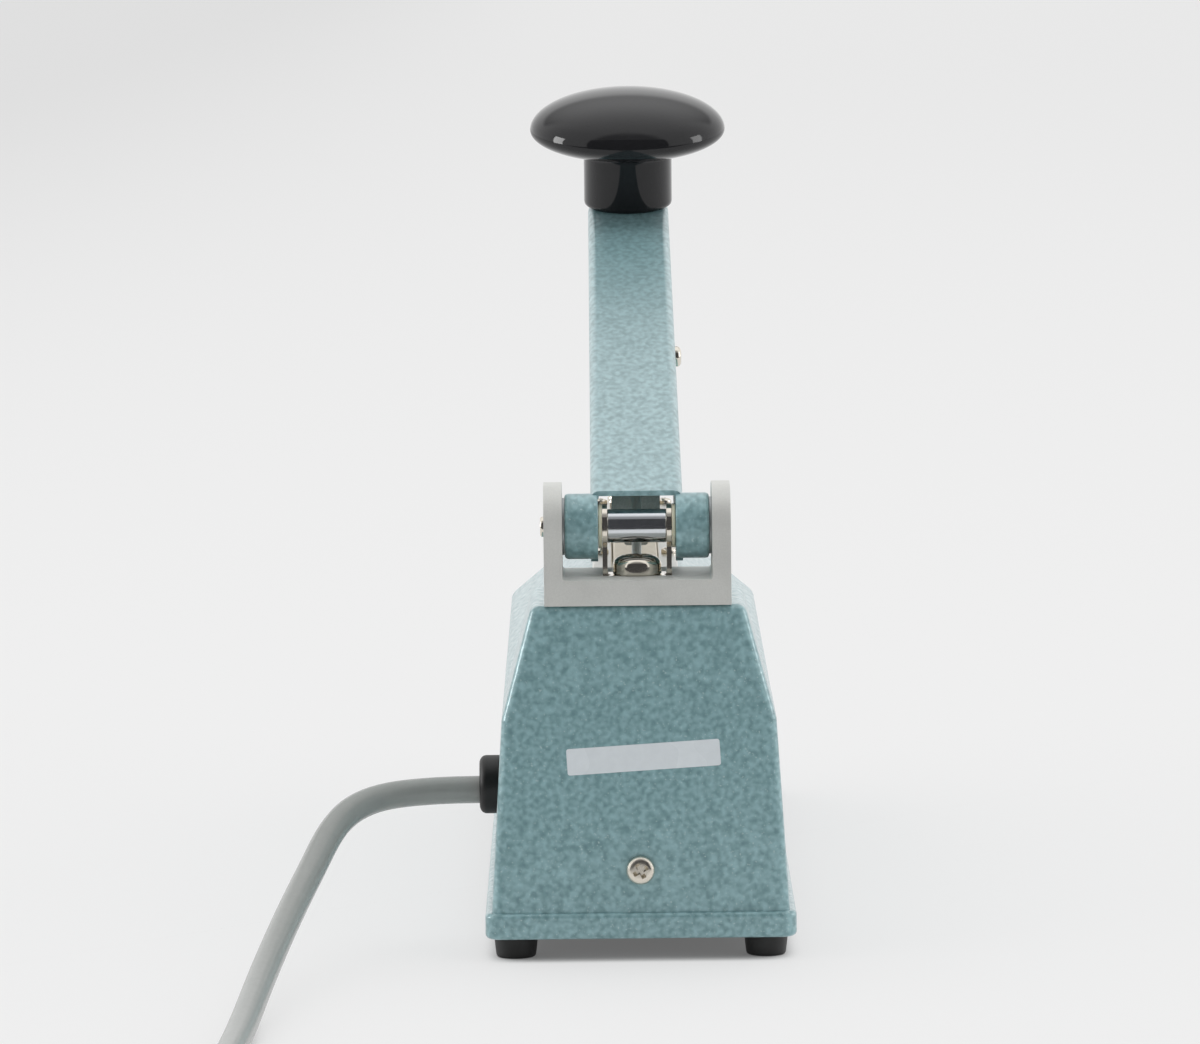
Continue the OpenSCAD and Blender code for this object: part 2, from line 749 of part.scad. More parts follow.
// Pivot: bracket on the pedestal, yoke between the arm's bosses, axle through all of them
module ear_outline(low) {
    half = bracket_l / 2;
    translate([-half, low]) square([bracket_l, axle_z - low]);
    translate([ear_r - half, axle_z]) square([bracket_l - 2 * ear_r, ear_r]);
    for (s = [-1, 1])
        translate([s * (half - ear_r), axle_z]) circle(ear_r);
}
module pivot_bracket() {
    inner = bracket_w - 2 * bracket_wall;
    base_z = pedestal_z + bracket_base_t;
    color(aluminium) difference() {
        translate([-bracket_w / 2, axle_y, 0]) rotate([90, 0, 90])
            linear_extrude(bracket_w) ear_outline(pedestal_z);
        translate([-inner / 2, axle_y - bracket_l, base_z])
            cube([inner, 2 * bracket_l, axle_h + ear_r]);
        cross_bar(axle_d + 2 * thread_fit, 2 * bracket_w, axle_y, axle_z);
        translate([0, axle_y, pedestal_z - bracket_base_t])
            cylinder(d = m6_d + 2 * hole_play, h = 3 * bracket_base_t);
        translate([-yoke_w / 2 - side_play, axle_y - yoke_l / 2 - side_play, yoke_z])
            cube([yoke_w + 2 * side_play, yoke_l + 2 * side_play, 2 * yoke_t]);
    }
}
yoke_z = pedestal_z + bracket_base_t - yoke_t;
yoke_top_z = yoke_z + yoke_t;
module pivot_yoke() {
    color(nickel) difference() {
        translate([-yoke_w / 2, axle_y, 0]) rotate([90, 0, 90]) linear_extrude(yoke_w) {
            translate([-yoke_l / 2, yoke_z]) square([yoke_l, yoke_t]);
            translate([-yoke_leg_l / 2, yoke_z]) square([yoke_leg_l, axle_z - yoke_z]);
            translate([0, axle_z]) circle(d = yoke_eye_d);
        }
        translate([yoke_t - yoke_w / 2, axle_y - yoke_eye_d, yoke_top_z])
            cube([yoke_w - 2 * yoke_t, 2 * yoke_eye_d, axle_h + yoke_eye_d]);
        cross_bar(axle_d + 2 * bore_fit, 2 * yoke_w, axle_y, axle_z);
        translate([0, axle_y, yoke_z - yoke_t]) cylinder(d = m6_d + 2 * hole_play, h = 3 * yoke_t);
    }
}
bracket_nut_z = ceiling_z - switch_plate_t - m6_nut_h;
module bracket_screw() {
    color(nickel) translate([0, axle_y, yoke_top_z])
        pan_screw(m6_d, yoke_top_z - bracket_nut_z + screw_end, m6_head_d, m6_head_h);
}
module bracket_nut() {
    color(steel) translate([0, axle_y, bracket_nut_z]) hex_nut(m6_d + 2 * thread_fit, m6_nut_af, m6_nut_h);
}
module axle() {
    color(nickel) along_x(-bracket_w / 2, axle_y, axle_z)
        cylinder(d = axle_d, h = bracket_w + axle_proud);
}
module spacer_tube() {
    l = yoke_w - 2 * yoke_t - 2 * side_play;
    color(nickel) along_x(-l / 2, axle_y, axle_z) ring(spacer_d, axle_d + 2 * bore_fit, l);
}
module washer_pair(x, d, t) {
    for (s = [-1, 1])
        along_x(s * x - t / 2, axle_y, axle_z) ring(d, axle_d + 2 * bore_fit, t);
}
module side_washers() {
    gap = (arm_inner - yoke_w) / 2;
    color(cream) washer_pair((arm_inner + yoke_w) / 4, yoke_eye_d, gap - 2 * side_play);
}
thrust_in = 1;
module thrust_washers() {
    x = boss_w / 2 + side_play + thrust_t / 2;
    color(nickel) washer_pair(x, boss_d - 2 * thrust_in, thrust_t);
}

// Lift rod guide, spring and switch under the arm
module guide_bush() {
    color(brass) translate([0, rod_y, bush_low_z]) difference() {
        union() {
            cylinder(d = bush_d, h = bush_l + eps);
            translate([0, 0, bush_l]) cylinder(d = bush_flange_d, h = bush_flange_t);
        }
        translate([0, 0, -eps]) cylinder(d = rod_d + 2 * bore_fit, h = bush_l + bush_flange_t + 2 * eps);
    }
}
module lift_spring() {
    color(steel) tube(spring_points, spring_dirs, spring_wire, spring_sides);
}
module switch_bracket() {
    plate_y = switch_back_y;
    rear = axle_y + switch_rear_margin;
    low_z = switch_hole_z - switch_plate_low;
    color(steel) difference() {
        union() {
            translate([-m6_nut_af, plate_y, ceiling_z - switch_plate_t])
                cube([2 * m6_nut_af, rear - plate_y, switch_plate_t]);
            translate([-m6_nut_af, plate_y, low_z])
                cube([2 * m6_nut_af, switch_plate_t, ceiling_z - low_z]);
            translate([switch_off - switch_plate_w / 2, plate_y, low_z])
                cube([switch_plate_w, switch_plate_t, switch_z1 - low_z]);
        }
        translate([0, axle_y, ceiling_z - 2 * switch_plate_t])
            cylinder(d = m6_d + 2 * hole_play, h = 4 * switch_plate_t);
        switch_holes() cylinder(d = m3_d + 2 * thread_fit, h = 6 * switch_plate_t, center = true);
    }
}
module switch_holes() {
    for (s = [-1, 1])
        translate([switch_off + s * switch_hole_step / 2, switch_back_y, switch_hole_z])
            rotate([90, 0, 0]) children();
}
switch_term_w = 4.8;
switch_term_h = 6;
switch_term_t = 0.8;
module micro_switch() {
    low_z = switch_z1 - switch_h;
    color(black_plastic) difference() {
        union() {
            translate([switch_off - switch_w / 2, rod_y - switch_l / 2, low_z])
                cube([switch_w, switch_l, switch_h]);
            for (s = [-1, 0, 1])
                translate([switch_off + s * switch_w / 3 - switch_term_w / 2, rod_y, low_z - switch_term_h])
                    cube([switch_term_w, switch_term_t, switch_term_h + eps]);
        }
        translate([0, rod_y, switch_z1 - 2 * button_stroke - button_h])
            cylinder(d = button_d + 2 * bore_fit, h = 2 * button_h + 4 * button_stroke);
        switch_holes() cylinder(d = m3_d + 2 * hole_play, h = 4 * switch_l, center = true);
    }
}
module switch_screws() {
    color(nickel) switch_holes() translate([0, 0, switch_l])
        pan_screw(m3_d, switch_l + switch_plate_t + screw_end, m3_head_d, m3_head_h);
}
module push_rod() {
    dome_z = rod_top_z - rod_dome_r;
    color(cream) translate([0, rod_y, 0]) {
        translate([0, 0, rod_end_z]) cylinder(d = rod_d, h = rod_head_z - rod_end_z + eps);
        intersection() {
            translate([0, 0, rod_head_z]) cylinder(d = rod_head_d, h = rod_head_t);
            translate([0, 0, dome_z]) sphere(rod_dome_r);
        }
        translate([0, 0, clip_z]) cylinder(d = clip_d, h = clip_t);
    }
}
module switch_button() {
    color(cream) translate([0, rod_y, button_z1 - button_h]) cylinder(d = button_d, h = button_h);
}

// Sealing bed, from the land up
module rail_screw_places() {
    for (i = [-1 : 1])
        translate([0, rail_mid_y + i * rail_screw_step, land_under_z]) children();
}
module terminal_places() {
    for (y = [rail_rear_y + end_block_l / 2, rail_front_y - end_block_l / 2])
        translate([clamp_x, y, 0]) children();
}
module bed_rail() {
    color(aluminium) difference() {
        translate([0, rail_rear_y, 0]) rotate([90, 0, 0]) linear_extrude(rail_l) {
            translate([-rail_w / 2, land_z]) square([rail_w, rail_base_h]);
            translate([-ridge_w / 2, land_z]) square([ridge_w, rail_base_h + ridge_h]);
        }
        rail_screw_places() cylinder(d = m4_d + 2 * thread_fit, h = 2 * (wall + rail_base_h), center = true);
    }
}
module rail_screws() {
    color(nickel) rail_screw_places() rotate([180, 0, 0])
        pan_screw(m4_d, wall + rail_base_h - rail_screw_short, m4_head_d, m4_head_h);
}
module end_blocks() {
    color(phenolic) difference() {
        for (y = [rail_rear_y, rail_front_y - end_block_l])
            translate([-rail_w / 2, y, land_z]) cube([rail_w, end_block_l, rail_base_h]);
        terminal_places() translate([0, 0, land_z - eps])
            cylinder(d = m3_d + 2 * hole_play, h = rail_base_h + 2 * eps);
    }
}
module insulating_tape() {
    color(cream) translate([-tape_w / 2, rail_front_y, ridge_z]) cube([tape_w, rail_l, tape_t]);
}

// Ribbon along the ridge, down over both ends of the rail and under the clamps on the end blocks
ribbon_foot = 4.5;
module heating_ribbon() {
    out = side_play + ribbon_t;
    color(steel) translate([-ribbon_w / 2, 0, 0]) {
        translate([0, rail_front_y - out, ribbon_z]) cube([ribbon_w, rail_l + 2 * out, ribbon_t]);
        for (y = [rail_rear_y + side_play, rail_front_y - out])
            translate([0, y, rail_shoulder_z]) cube([ribbon_w, ribbon_t, ribbon_z - rail_shoulder_z + eps]);
        for (y = [rail_rear_y + side_play, rail_front_y - side_play - ribbon_foot])
            translate([0, y, rail_shoulder_z]) cube([ribbon_w, ribbon_foot, ribbon_t]);
    }
}
clamp_z = rail_shoulder_z + ribbon_t;
module ribbon_clamps() {
    color(brass) difference() {
        terminal_places() translate([-clamp_x - clamp_w / 2 + clamp_x / 2, -clamp_l / 2, clamp_z])
            cube([clamp_w, clamp_l, clamp_t]);
        terminal_places() translate([0, 0, clamp_z - clamp_t])
            cylinder(d = m3_d + 2 * hole_play, h = 3 * clamp_t);
    }
}
terminal_nut_z = land_under_z - terminal_bush_flange_t - m3_nut_h;
module terminal_bolts() {
    color(brass) terminal_places() translate([0, 0, clamp_z + clamp_t])
        pan_screw(m3_d, clamp_z + clamp_t - terminal_nut_z + screw_long_end, m3_head_d, m3_head_h);
}
module terminal_bushes() {
    color(phenolic) terminal_places() translate([0, 0, land_under_z]) difference() {
        union() {
            translate([0, 0, -terminal_bush_flange_t])
                cylinder(d = terminal_bush_flange_d, h = terminal_bush_flange_t);
            translate([0, 0, -eps]) cylinder(d = terminal_bush_d, h = wall + eps);
        }
        translate([0, 0, -2 * wall]) cylinder(d = m3_d + 2 * hole_play, h = 4 * wall);
    }
}
module terminal_nuts() {
    color(brass) terminal_places() translate([0, 0, terminal_nut_z])
        hex_nut(m3_d + 2 * thread_fit, m3_nut_af, m3_nut_h);
}
module cover_cloth() {
    foot = rail_shoulder_z + side_play;
    color("#d9cfae") translate([0, rail_mid_y + cloth_l / 2, 0]) rotate([90, 0, 0]) linear_extrude(cloth_l) {
        translate([-cloth_half, cloth_z]) square([2 * cloth_half, cloth_t]);
        for (s = [-1, 1])
            translate([s * (cloth_half - cloth_t / 2) - cloth_t / 2, foot])
                square([cloth_t, cloth_z + cloth_t - foot]);
        for (s = [-1, 1])
            translate([s * (cloth_half + cloth_flap / 2 - cloth_t / 2) - (cloth_flap + cloth_t) / 2, foot])
                square([cloth_flap + cloth_t, cloth_t]);
    }
}
module strip_screw_places() {
    first_y = rail_mid_y - (strip_screw_count - 1) / 2 * strip_screw_step;
    for (s = [-1, 1], i = [0 : strip_screw_count - 1])
        translate([s * strip_screw_x, first_y + i * strip_screw_step, strip_z + strip_t]) children();
}
module cloth_strips() {
    color(aluminium) difference() {
        for (s = [-1, 1])
            translate([s * (strip_inner + strip_outer) / 2, rail_mid_y, strip_z + strip_t / 2])
                cube([strip_outer - strip_inner, cloth_l, strip_t], center = true);
        strip_screw_places() cylinder(d = strip_screw_d + 2 * bore_fit, h = 4 * strip_t, center = true);
    }
}
module strip_screws() {
    l = strip_z + strip_t - rail_shoulder_z - side_play;
    color(nickel) strip_screw_places() pan_screw(strip_screw_d, l, strip_screw_head_d, strip_screw_head_h);
}

// Transformer on the base plate
module transformer_core() {
    color("#5b5d60") translate([0, core_y, plate_top]) difference() {
        translate([-core_stack / 2, -core_l / 2, 0]) cube([core_stack, core_l, core_h]);
        for (s = [-1, 1])
            translate([0, s * core_l / 4, core_h / 2])
                cube([2 * core_stack, core_yoke, core_h - 2 * core_yoke], center = true);
    }
}
module transformer_coil() {
    h = core_h - 2 * core_yoke - 2 * coil_play;
    color(copper) translate([0, core_y, plate_top + core_yoke + coil_play]) difference() {
        linear_extrude(h)
            rounded_rect(core_stack + 2 * coil_out, core_leg + 2 * (core_yoke - coil_play), coil_out / 2);
        translate([0, 0, h / 2])
            cube([core_stack + 2 * coil_play, core_leg + 2 * coil_play, 2 * h], center = true);
    }
}
module strap_screw_places() {
    for (s = [-1, 1])
        translate([0, core_y + s * (core_l / 2 + strap_foot / 2 + strap_t), plate_top]) children();
}
module transformer_strap() {
    span = core_l + 2 * side_play;
    color(steel) difference() {
        translate([-core_stack / 2, core_y, plate_top]) rotate([90, 0, 90]) linear_extrude(core_stack) {
            translate([-span / 2 - strap_t, core_h + side_play]) square([span + 2 * strap_t, strap_t]);
            for (s = [-1, 1])
                translate([s * (span + strap_t) / 2 - strap_t / 2, 0]) square([strap_t, core_h + strap_t]);
            for (s = [-1, 1])
                translate([s * (span + strap_foot) / 2 + s * strap_t - strap_foot / 2 - strap_t / 2, 0])
                    square([strap_foot + strap_t, strap_t]);
        }
        strap_screw_places() cylinder(d = m4_d + 2 * hole_play, h = 6 * strap_t, center = true);
    }
}
module strap_screws() {
    color(nickel) strap_screw_places() translate([0, 0, strap_t])
        pan_screw(m4_d, strap_t + plate_t + screw_end, m4_head_d, m4_head_h);
}

// Timer board on spacers, with its relay and its capacitor
module board_hole_places() {
    x = board_w / 2 - board_hole_in;
    y = board_l / 2 - board_hole_in;
    for (sx = [-1, 1], sy = [-1, 1])
        translate([sx * x, board_y + sy * y, 0]) children();
}
module timer_board() {
    color(board_green) difference() {
        translate([-board_w / 2, board_y - board_l / 2, board_z]) cube([board_w, board_l, board_t]);
        board_hole_places() translate([0, 0, board_z - board_t])
            cylinder(d = m3_d + 2 * hole_play, h = 3 * board_t);
    }
}
module board_spacers() {
    color(brass) board_hole_places() translate([0, 0, plate_top])
        ring(board_spacer_d, m3_d + 2 * thread_fit, board_spacer_h);
}
module board_screws() {
    color(nickel) board_hole_places() translate([0, 0, board_z + board_t])
        pan_screw(m3_d, board_t + board_spacer_h - board_screw_short, m3_head_d, m3_head_h);
}
relay_size = [12.5, 28, 16];
capacitor_d = 13;
capacitor_h = 21;
capacitor_edge = 0.8;
part_gap = 2;
module timer_relay() {
    color("#3a3f47") translate([-relay_size[0] - part_gap, board_y - relay_size[1] / 2, board_z + board_t])
        cube(relay_size);
}
module timer_capacitor() {
    color("#2e3d6b") translate([capacitor_d / 2 + part_gap, board_y, board_z + board_t]) {
        cylinder(d = capacitor_d, h = capacitor_h);
        translate([0, 0, capacitor_h - eps])
            cylinder(d1 = capacitor_d, d2 = capacitor_d - 2 * capacitor_edge, h = capacitor_edge);
    }
}

// Control panel fittings
module potentiometer() {
    color(steel) on_panel(0, dial_h) difference() {
        union() {
            translate([0, 0, -pot_seat - pot_l]) cylinder(d = pot_d, h = pot_l);
            translate([0, 0, -pot_seat - eps]) cylinder(d = pot_bush_d, h = pot_seat + pot_bush_out + eps);
        }
        translate([0, 0, -pot_seat - pot_l / 2]) cylinder(d = pot_shaft_d + 2 * bore_fit, h = 4 * pot_l);
    }
}
module potentiometer_nut() {
    color(nickel) on_panel(0, dial_h) hex_nut(pot_bush_d + 2 * thread_fit, pot_nut_af, pot_nut_t);
}
module timer_dial() {
    top_d = dial_d - dial_taper;
    shaft_low = pot_seat + pot_l / 2 - 2 * side_play;
    color(black_plastic) on_panel(0, dial_h) {
        translate([0, 0, -shaft_low])
            cylinder(d = pot_shaft_d, h = shaft_low + dial_gap + dial_recess_t + eps);
        translate([0, 0, dial_gap]) difference() {
            rotate_extrude() polygon([
                [0, 0], [dial_d / 2, 0], [dial_d / 2, dial_skirt_t], [top_d / 2, dial_skirt_t + dial_bevel],
                [top_d / 2 - dial_draft, dial_t - dial_bevel], [top_d / 2 - dial_draft - dial_bevel, dial_t],
                [0, dial_t]
            ]);
            translate([0, 0, -eps]) ring(dial_recess_d, pot_shaft_d, dial_recess_t);
            for (i = [0 : dial_flutes - 1])
                rotate(360 * i / dial_flutes)
                    translate([top_d / 2 + dial_flute_out, 0, dial_skirt_t + dial_bevel + dial_flute_up])
                        cylinder(d = dial_flute_d, h = dial_t);
        }
    }
}
module lamp_bezel() {
    color(black_plastic) on_panel(lamp_x, lamp_h) difference() {
        union() {
            cylinder(d = lamp_d, h = lamp_lip);
            translate([0, 0, -lamp_len]) cylinder(d = lamp_hole_d, h = lamp_len + eps);
        }
        translate([0, 0, lens_seat]) cylinder(d = lens_d + 2 * bore_fit, h = lamp_lip);
    }
}
module lamp_lens() {
    color("#c8452d") on_panel(lamp_x, lamp_h) translate([0, 0, lens_seat]) intersection() {
        cylinder(d = lens_d, h = lens_d);
        translate([0, 0, -lens_sink]) sphere(d = lens_dome_d);
    }
}

// Cord, from its tail inside the grommet to the plug
module cord_grommet() {
    r = grommet_d / 2;
    edge = 1.2;
    color(rubber) along_x(grommet_seat_x, grommet_y, grommet_z) difference() {
        union() {
            rotate_extrude() polygon([
                [0, 0], [r, 0], [r, grommet_out - edge], [r - edge / 3, grommet_out - edge / 3],
                [r - edge, grommet_out], [0, grommet_out]
            ]);
            translate([0, 0, -grommet_lip_z - eps]) cylinder(d = grommet_neck_d, h = grommet_lip_z + 2 * eps);
            translate([0, 0, -grommet_lip_z - grommet_lip_t]) cylinder(d = grommet_lip_d, h = grommet_lip_t);
        }
        translate([cord_drop, 0, -4 * wall]) cylinder(d = cord_d + 2 * bore_fit, h = 8 * wall + grommet_out);
    }
}
module cord_tail() {
    color(cord_grey) along_x(cord_tail_x, grommet_y, cord_exit_z)
        cylinder(d = cord_d, h = grommet_face_x - cord_tail_x);
}
module power_cord() {
    color(cord_grey) tube(cord_points, [for (p = cord_points) [0, 0, 1]], cord_d, cord_sides);
}
module cord_coil() {
    color(cord_grey) tube(coil_points, [for (p = coil_points) [0, 0, 1]], cord_d, coil_sides);
}
module cord_tie() {
    w = tie_out_r - tie_in_r;
    h = coil_top_z + cord_d / 2 + tie_play - tie_t;
    color(black_plastic) translate([coil_x - (tie_in_r + tie_out_r) / 2, coil_y + tie_w / 2, tie_t + h / 2])
        rotate([90, 0, 0]) linear_extrude(tie_w) difference() {
            rounded_rect(w + 2 * tie_t, h + 2 * tie_t, tie_corner_r + tie_t);
            rounded_rect(w, h, tie_corner_r);
        }
}
module on_plug() {
    translate([plug_x, plug_y, coil_top_z]) rotate([0, -90, 0]) children();
}
module plug() {
    neck = plug_relief_l;
    far = plug_relief_l + plug_body_l;
    color(black_plastic) on_plug() rotate_extrude() polygon([
        [0, 0], [plug_relief_d0 / 2, 0], [plug_relief_d1 / 2, neck], [plug_neck_d / 2, neck],
        [plug_d / 2, neck + plug_swell_l], [plug_d / 2, far - plug_edge], [plug_d / 2 - plug_edge, far],
        [0, far]
    ]);
}
module plug_blades() {
    color(nickel) on_plug() for (s = [-1, 1])
        translate([-blade_w / 2, s * blade_step / 2 - blade_t / 2, plug_relief_l + plug_body_l])
            cube([blade_w, blade_t, blade_l]);
}

// Arm: a cast channel open below, with hinge bosses at its rear and cross ribs over the presser bar
module arm_form() {
    edge_x = arm_w / 2 - arm_r;
    low_r = 0.8;
    hull() {
        for (s = [-1, 1]) {
            translate([s * edge_x, -arm_r, arm_top - arm_r]) sphere(arm_r, $fn = arm_fn);
            translate([s * (arm_w / 2 - low_r), -low_r, low_r - arm_skirt]) sphere(low_r, $fn = arm_fn);
        }
        translate([0, -arm_l, arm_top - arm_r]) rotate_extrude($fn = 2 * arm_fn)
            translate([edge_x, 0]) circle(arm_r, $fn = arm_fn);
        translate([0, -arm_l, -arm_skirt_front]) cylinder(d = arm_w, h = 1, $fn = 2 * arm_fn);
    }
}
module arm() {
    color(paint) on_arm() difference() {
        union() {
            difference() {
                arm_form();
                translate([-arm_inner / 2, -arm_l, -2 * arm_skirt])
                    cube([arm_inner, arm_l + boss_d, 2 * arm_skirt + arm_under]);
                translate([0, -arm_l, -2 * arm_skirt]) cylinder(d = arm_inner, h = 2 * arm_skirt + arm_under);
            }
            for (s = [-1, 1])
                along_x(s * (boss_w + arm_inner) / 4, 0, 0)
                    cylinder(d = boss_d, h = (boss_w - arm_inner) / 2, center = true);
            for (u = rib_u)
                translate([-arm_inner / 2 - eps, -u - rib_t / 2, presser_v1])
                    cube([arm_inner + 2 * eps, rib_t, arm_under - presser_v1 + eps]);
            translate([0, -arm_l, arm_top - knob_seat_t])
                cylinder(d = knob_seat_d, h = knob_seat_t - arm_top_t + eps);
        }
        cross_bar(axle_d + 2 * bore_fit, 2 * boss_w, 0, 0);
        cross_bar(m3_d + 2 * thread_fit, 2 * boss_w, -pin_u, cross_v);
        cross_bar(m3_d + 2 * thread_fit, 2 * boss_w, -cross_screw_u, cross_v);
        translate([0, -arm_l, 0]) cylinder(d = m6_d + 2 * hole_play, h = 2 * arm_top);
    }
}

// Knob: a mushroom whose dome is two half ellipses on a straight stem
module knob() {
    r = knob_d / 2;
    stem_r = stem_d / 2;
    foot_r = 1.2;
    under = acos(stem_r / r);
    upper = [for (a = [0 : 7.5 : 90]) [r * cos(a), knob_eq_h + knob_up_h * sin(a)]];
    lower = [for (a = [-under : under / 6 : -under / 12]) [r * cos(a), knob_eq_h + knob_low_h * sin(a)]];
    foot = [for (a = [-90 : 30 : 0]) [stem_r - foot_r + foot_r * cos(a), foot_r + foot_r * sin(a)]];
    color(black_plastic) on_arm() translate([0, -arm_l, arm_top]) difference() {
        rotate_extrude() polygon(concat([[0, 0]], foot, lower, upper));
        translate([0, 0, -eps]) cylinder(d = m6_d + 2 * thread_fit, h = knob_thread_l + 1);
    }
}
module knob_screw() {
    color(nickel) on_arm() translate([0, -arm_l, arm_top - knob_seat_t]) rotate([180, 0, 0])
        pan_screw(m6_d, knob_seat_t + knob_thread_l, m6_head_d, m6_head_h);
}

// Presser: an aluminium bar with a silicone rubber strip let into its face
module along_presser() {
    on_arm() translate([0, presser_l / 2 - presser_mid_u, 0])
        rotate([90, 0, 0]) linear_extrude(presser_l) children();
}
module presser_bar() {
    slot_w = rubber_w + 2 * bore_fit;
    color("#6f7274") difference() {
        along_presser() difference() {
            translate([-presser_w / 2, presser_v0]) square([presser_w, presser_h]);
            translate([-slot_w / 2, presser_v0 - eps]) square([slot_w, rubber_in + eps]);
        }
        on_arm() cross_bar(m3_d + 2 * thread_fit, 2 * arm_w, -pin_u, cross_v);
        on_arm() cross_bar(m3_d + 2 * thread_fit, 2 * arm_w, -cross_screw_u, cross_v);
    }
}
module presser_rubber() {
    half = rubber_w / 2;
    crown = 0.5;
    top_v = presser_v0 + rubber_in;
    color("#b9b2a6") along_presser() polygon([
        [-half, top_v], [-half, face_v + crown], [-half + crown, face_v],
        [half - crown, face_v], [half, face_v + crown], [half, top_v]
    ]);
}
module presser_pin() {
    color(steel) on_arm() cross_bar(m3_d, arm_w, -pin_u, cross_v);
}
module presser_screw() {
    color(nickel) on_arm() translate([-arm_w / 2, -cross_screw_u, cross_v]) rotate([0, -90, 0])
        pan_screw(m3_d, arm_w, m3_head_d, m3_head_h);
}

housing();
base_plate();
cover_screw();
rubber_feet();
foot_screws();
pivot_bracket();
pivot_yoke();
bracket_screw();
bracket_nut();
axle();
spacer_tube();
side_washers();
thrust_washers();
guide_bush();
lift_spring();
switch_bracket();
micro_switch();
switch_screws();
bed_rail();
rail_screws();
end_blocks();
insulating_tape();
heating_ribbon();
ribbon_clamps();
terminal_bolts();
terminal_bushes();
terminal_nuts();
cover_cloth();
cloth_strips();
strip_screws();
transformer_core();
transformer_coil();
transformer_strap();
strap_screws();
timer_board();
board_spacers();
board_screws();
timer_relay();
timer_capacitor();
potentiometer();
potentiometer_nut();
lamp_bezel();
lamp_lens();
cord_grommet();
cord_tail();
power_cord();
cord_coil();
cord_tie();
plug();
plug_blades();
arm();
knob();
knob_screw();
presser_bar();
presser_rubber();
presser_pin();
presser_screw();
push_rod();
switch_button();
timer_dial();
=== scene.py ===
"""Hand impulse sealer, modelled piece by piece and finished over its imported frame."""

import json
import math

import bmesh
import bpy
from mathutils import Matrix, Vector, noise


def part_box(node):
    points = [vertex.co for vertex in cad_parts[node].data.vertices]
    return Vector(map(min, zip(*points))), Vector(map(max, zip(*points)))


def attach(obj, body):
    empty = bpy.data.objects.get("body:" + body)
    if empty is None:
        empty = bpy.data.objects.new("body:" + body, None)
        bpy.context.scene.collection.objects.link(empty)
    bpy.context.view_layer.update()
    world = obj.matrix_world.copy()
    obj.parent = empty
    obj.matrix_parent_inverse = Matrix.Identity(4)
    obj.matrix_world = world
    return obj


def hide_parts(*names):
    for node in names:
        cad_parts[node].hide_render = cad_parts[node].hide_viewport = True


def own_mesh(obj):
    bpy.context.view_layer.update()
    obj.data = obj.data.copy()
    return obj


bl_info = {
    "name": "Hand Impulse Sealer",
    "version": (1, 0, 0),
    "blender": (4, 5, 0),
    "location": "View3D > Sidebar > Sealer",
    "description": "Models and finishes a hand impulse sealer piece by piece over its frame",
    "category": "Object",
}

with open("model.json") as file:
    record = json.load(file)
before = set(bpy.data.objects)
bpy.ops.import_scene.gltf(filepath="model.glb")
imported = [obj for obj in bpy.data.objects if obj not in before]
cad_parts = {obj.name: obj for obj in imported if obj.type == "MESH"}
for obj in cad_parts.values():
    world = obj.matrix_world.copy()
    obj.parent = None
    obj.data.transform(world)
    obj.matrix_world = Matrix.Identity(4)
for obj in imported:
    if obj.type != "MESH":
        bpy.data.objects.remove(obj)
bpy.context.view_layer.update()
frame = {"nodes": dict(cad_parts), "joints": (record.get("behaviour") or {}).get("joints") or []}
MM = 0.001
JOINTS = {joint["name"]: joint for joint in frame["joints"]}
FULL_TURN = 2 * math.pi
QUARTER_TURN = math.pi / 2
FINISHES = {}


def tone(red, green, blue):
    """Linear colour of a display colour that is given from 0 to 255."""
    return tuple(
        c / 255 / 12.92 if c / 255 <= 0.04045 else ((c / 255 + 0.055) / 1.055) ** 2.4 for c in (red, green, blue)
    )


def length(name, description, millimetres):
    """A length that a user can change, given in millimetres."""
    return bpy.props.FloatProperty(
        name=name, description=description, default=millimetres * MM, unit="LENGTH", subtype="DISTANCE", precision=5
    )


def angle(name, description, degrees):
    """An angle that a user can change, given in degrees."""
    return bpy.props.FloatProperty(
        name=name, description=description, default=math.radians(degrees), unit="ROTATION", subtype="ANGLE"
    )


def colour(name, description, red, green, blue):
    """A colour that a user can change, given from 0 to 255."""
    return bpy.props.FloatVectorProperty(
        name=name, description=description, default=tone(red, green, blue), min=0, max=1, subtype="COLOR"
    )


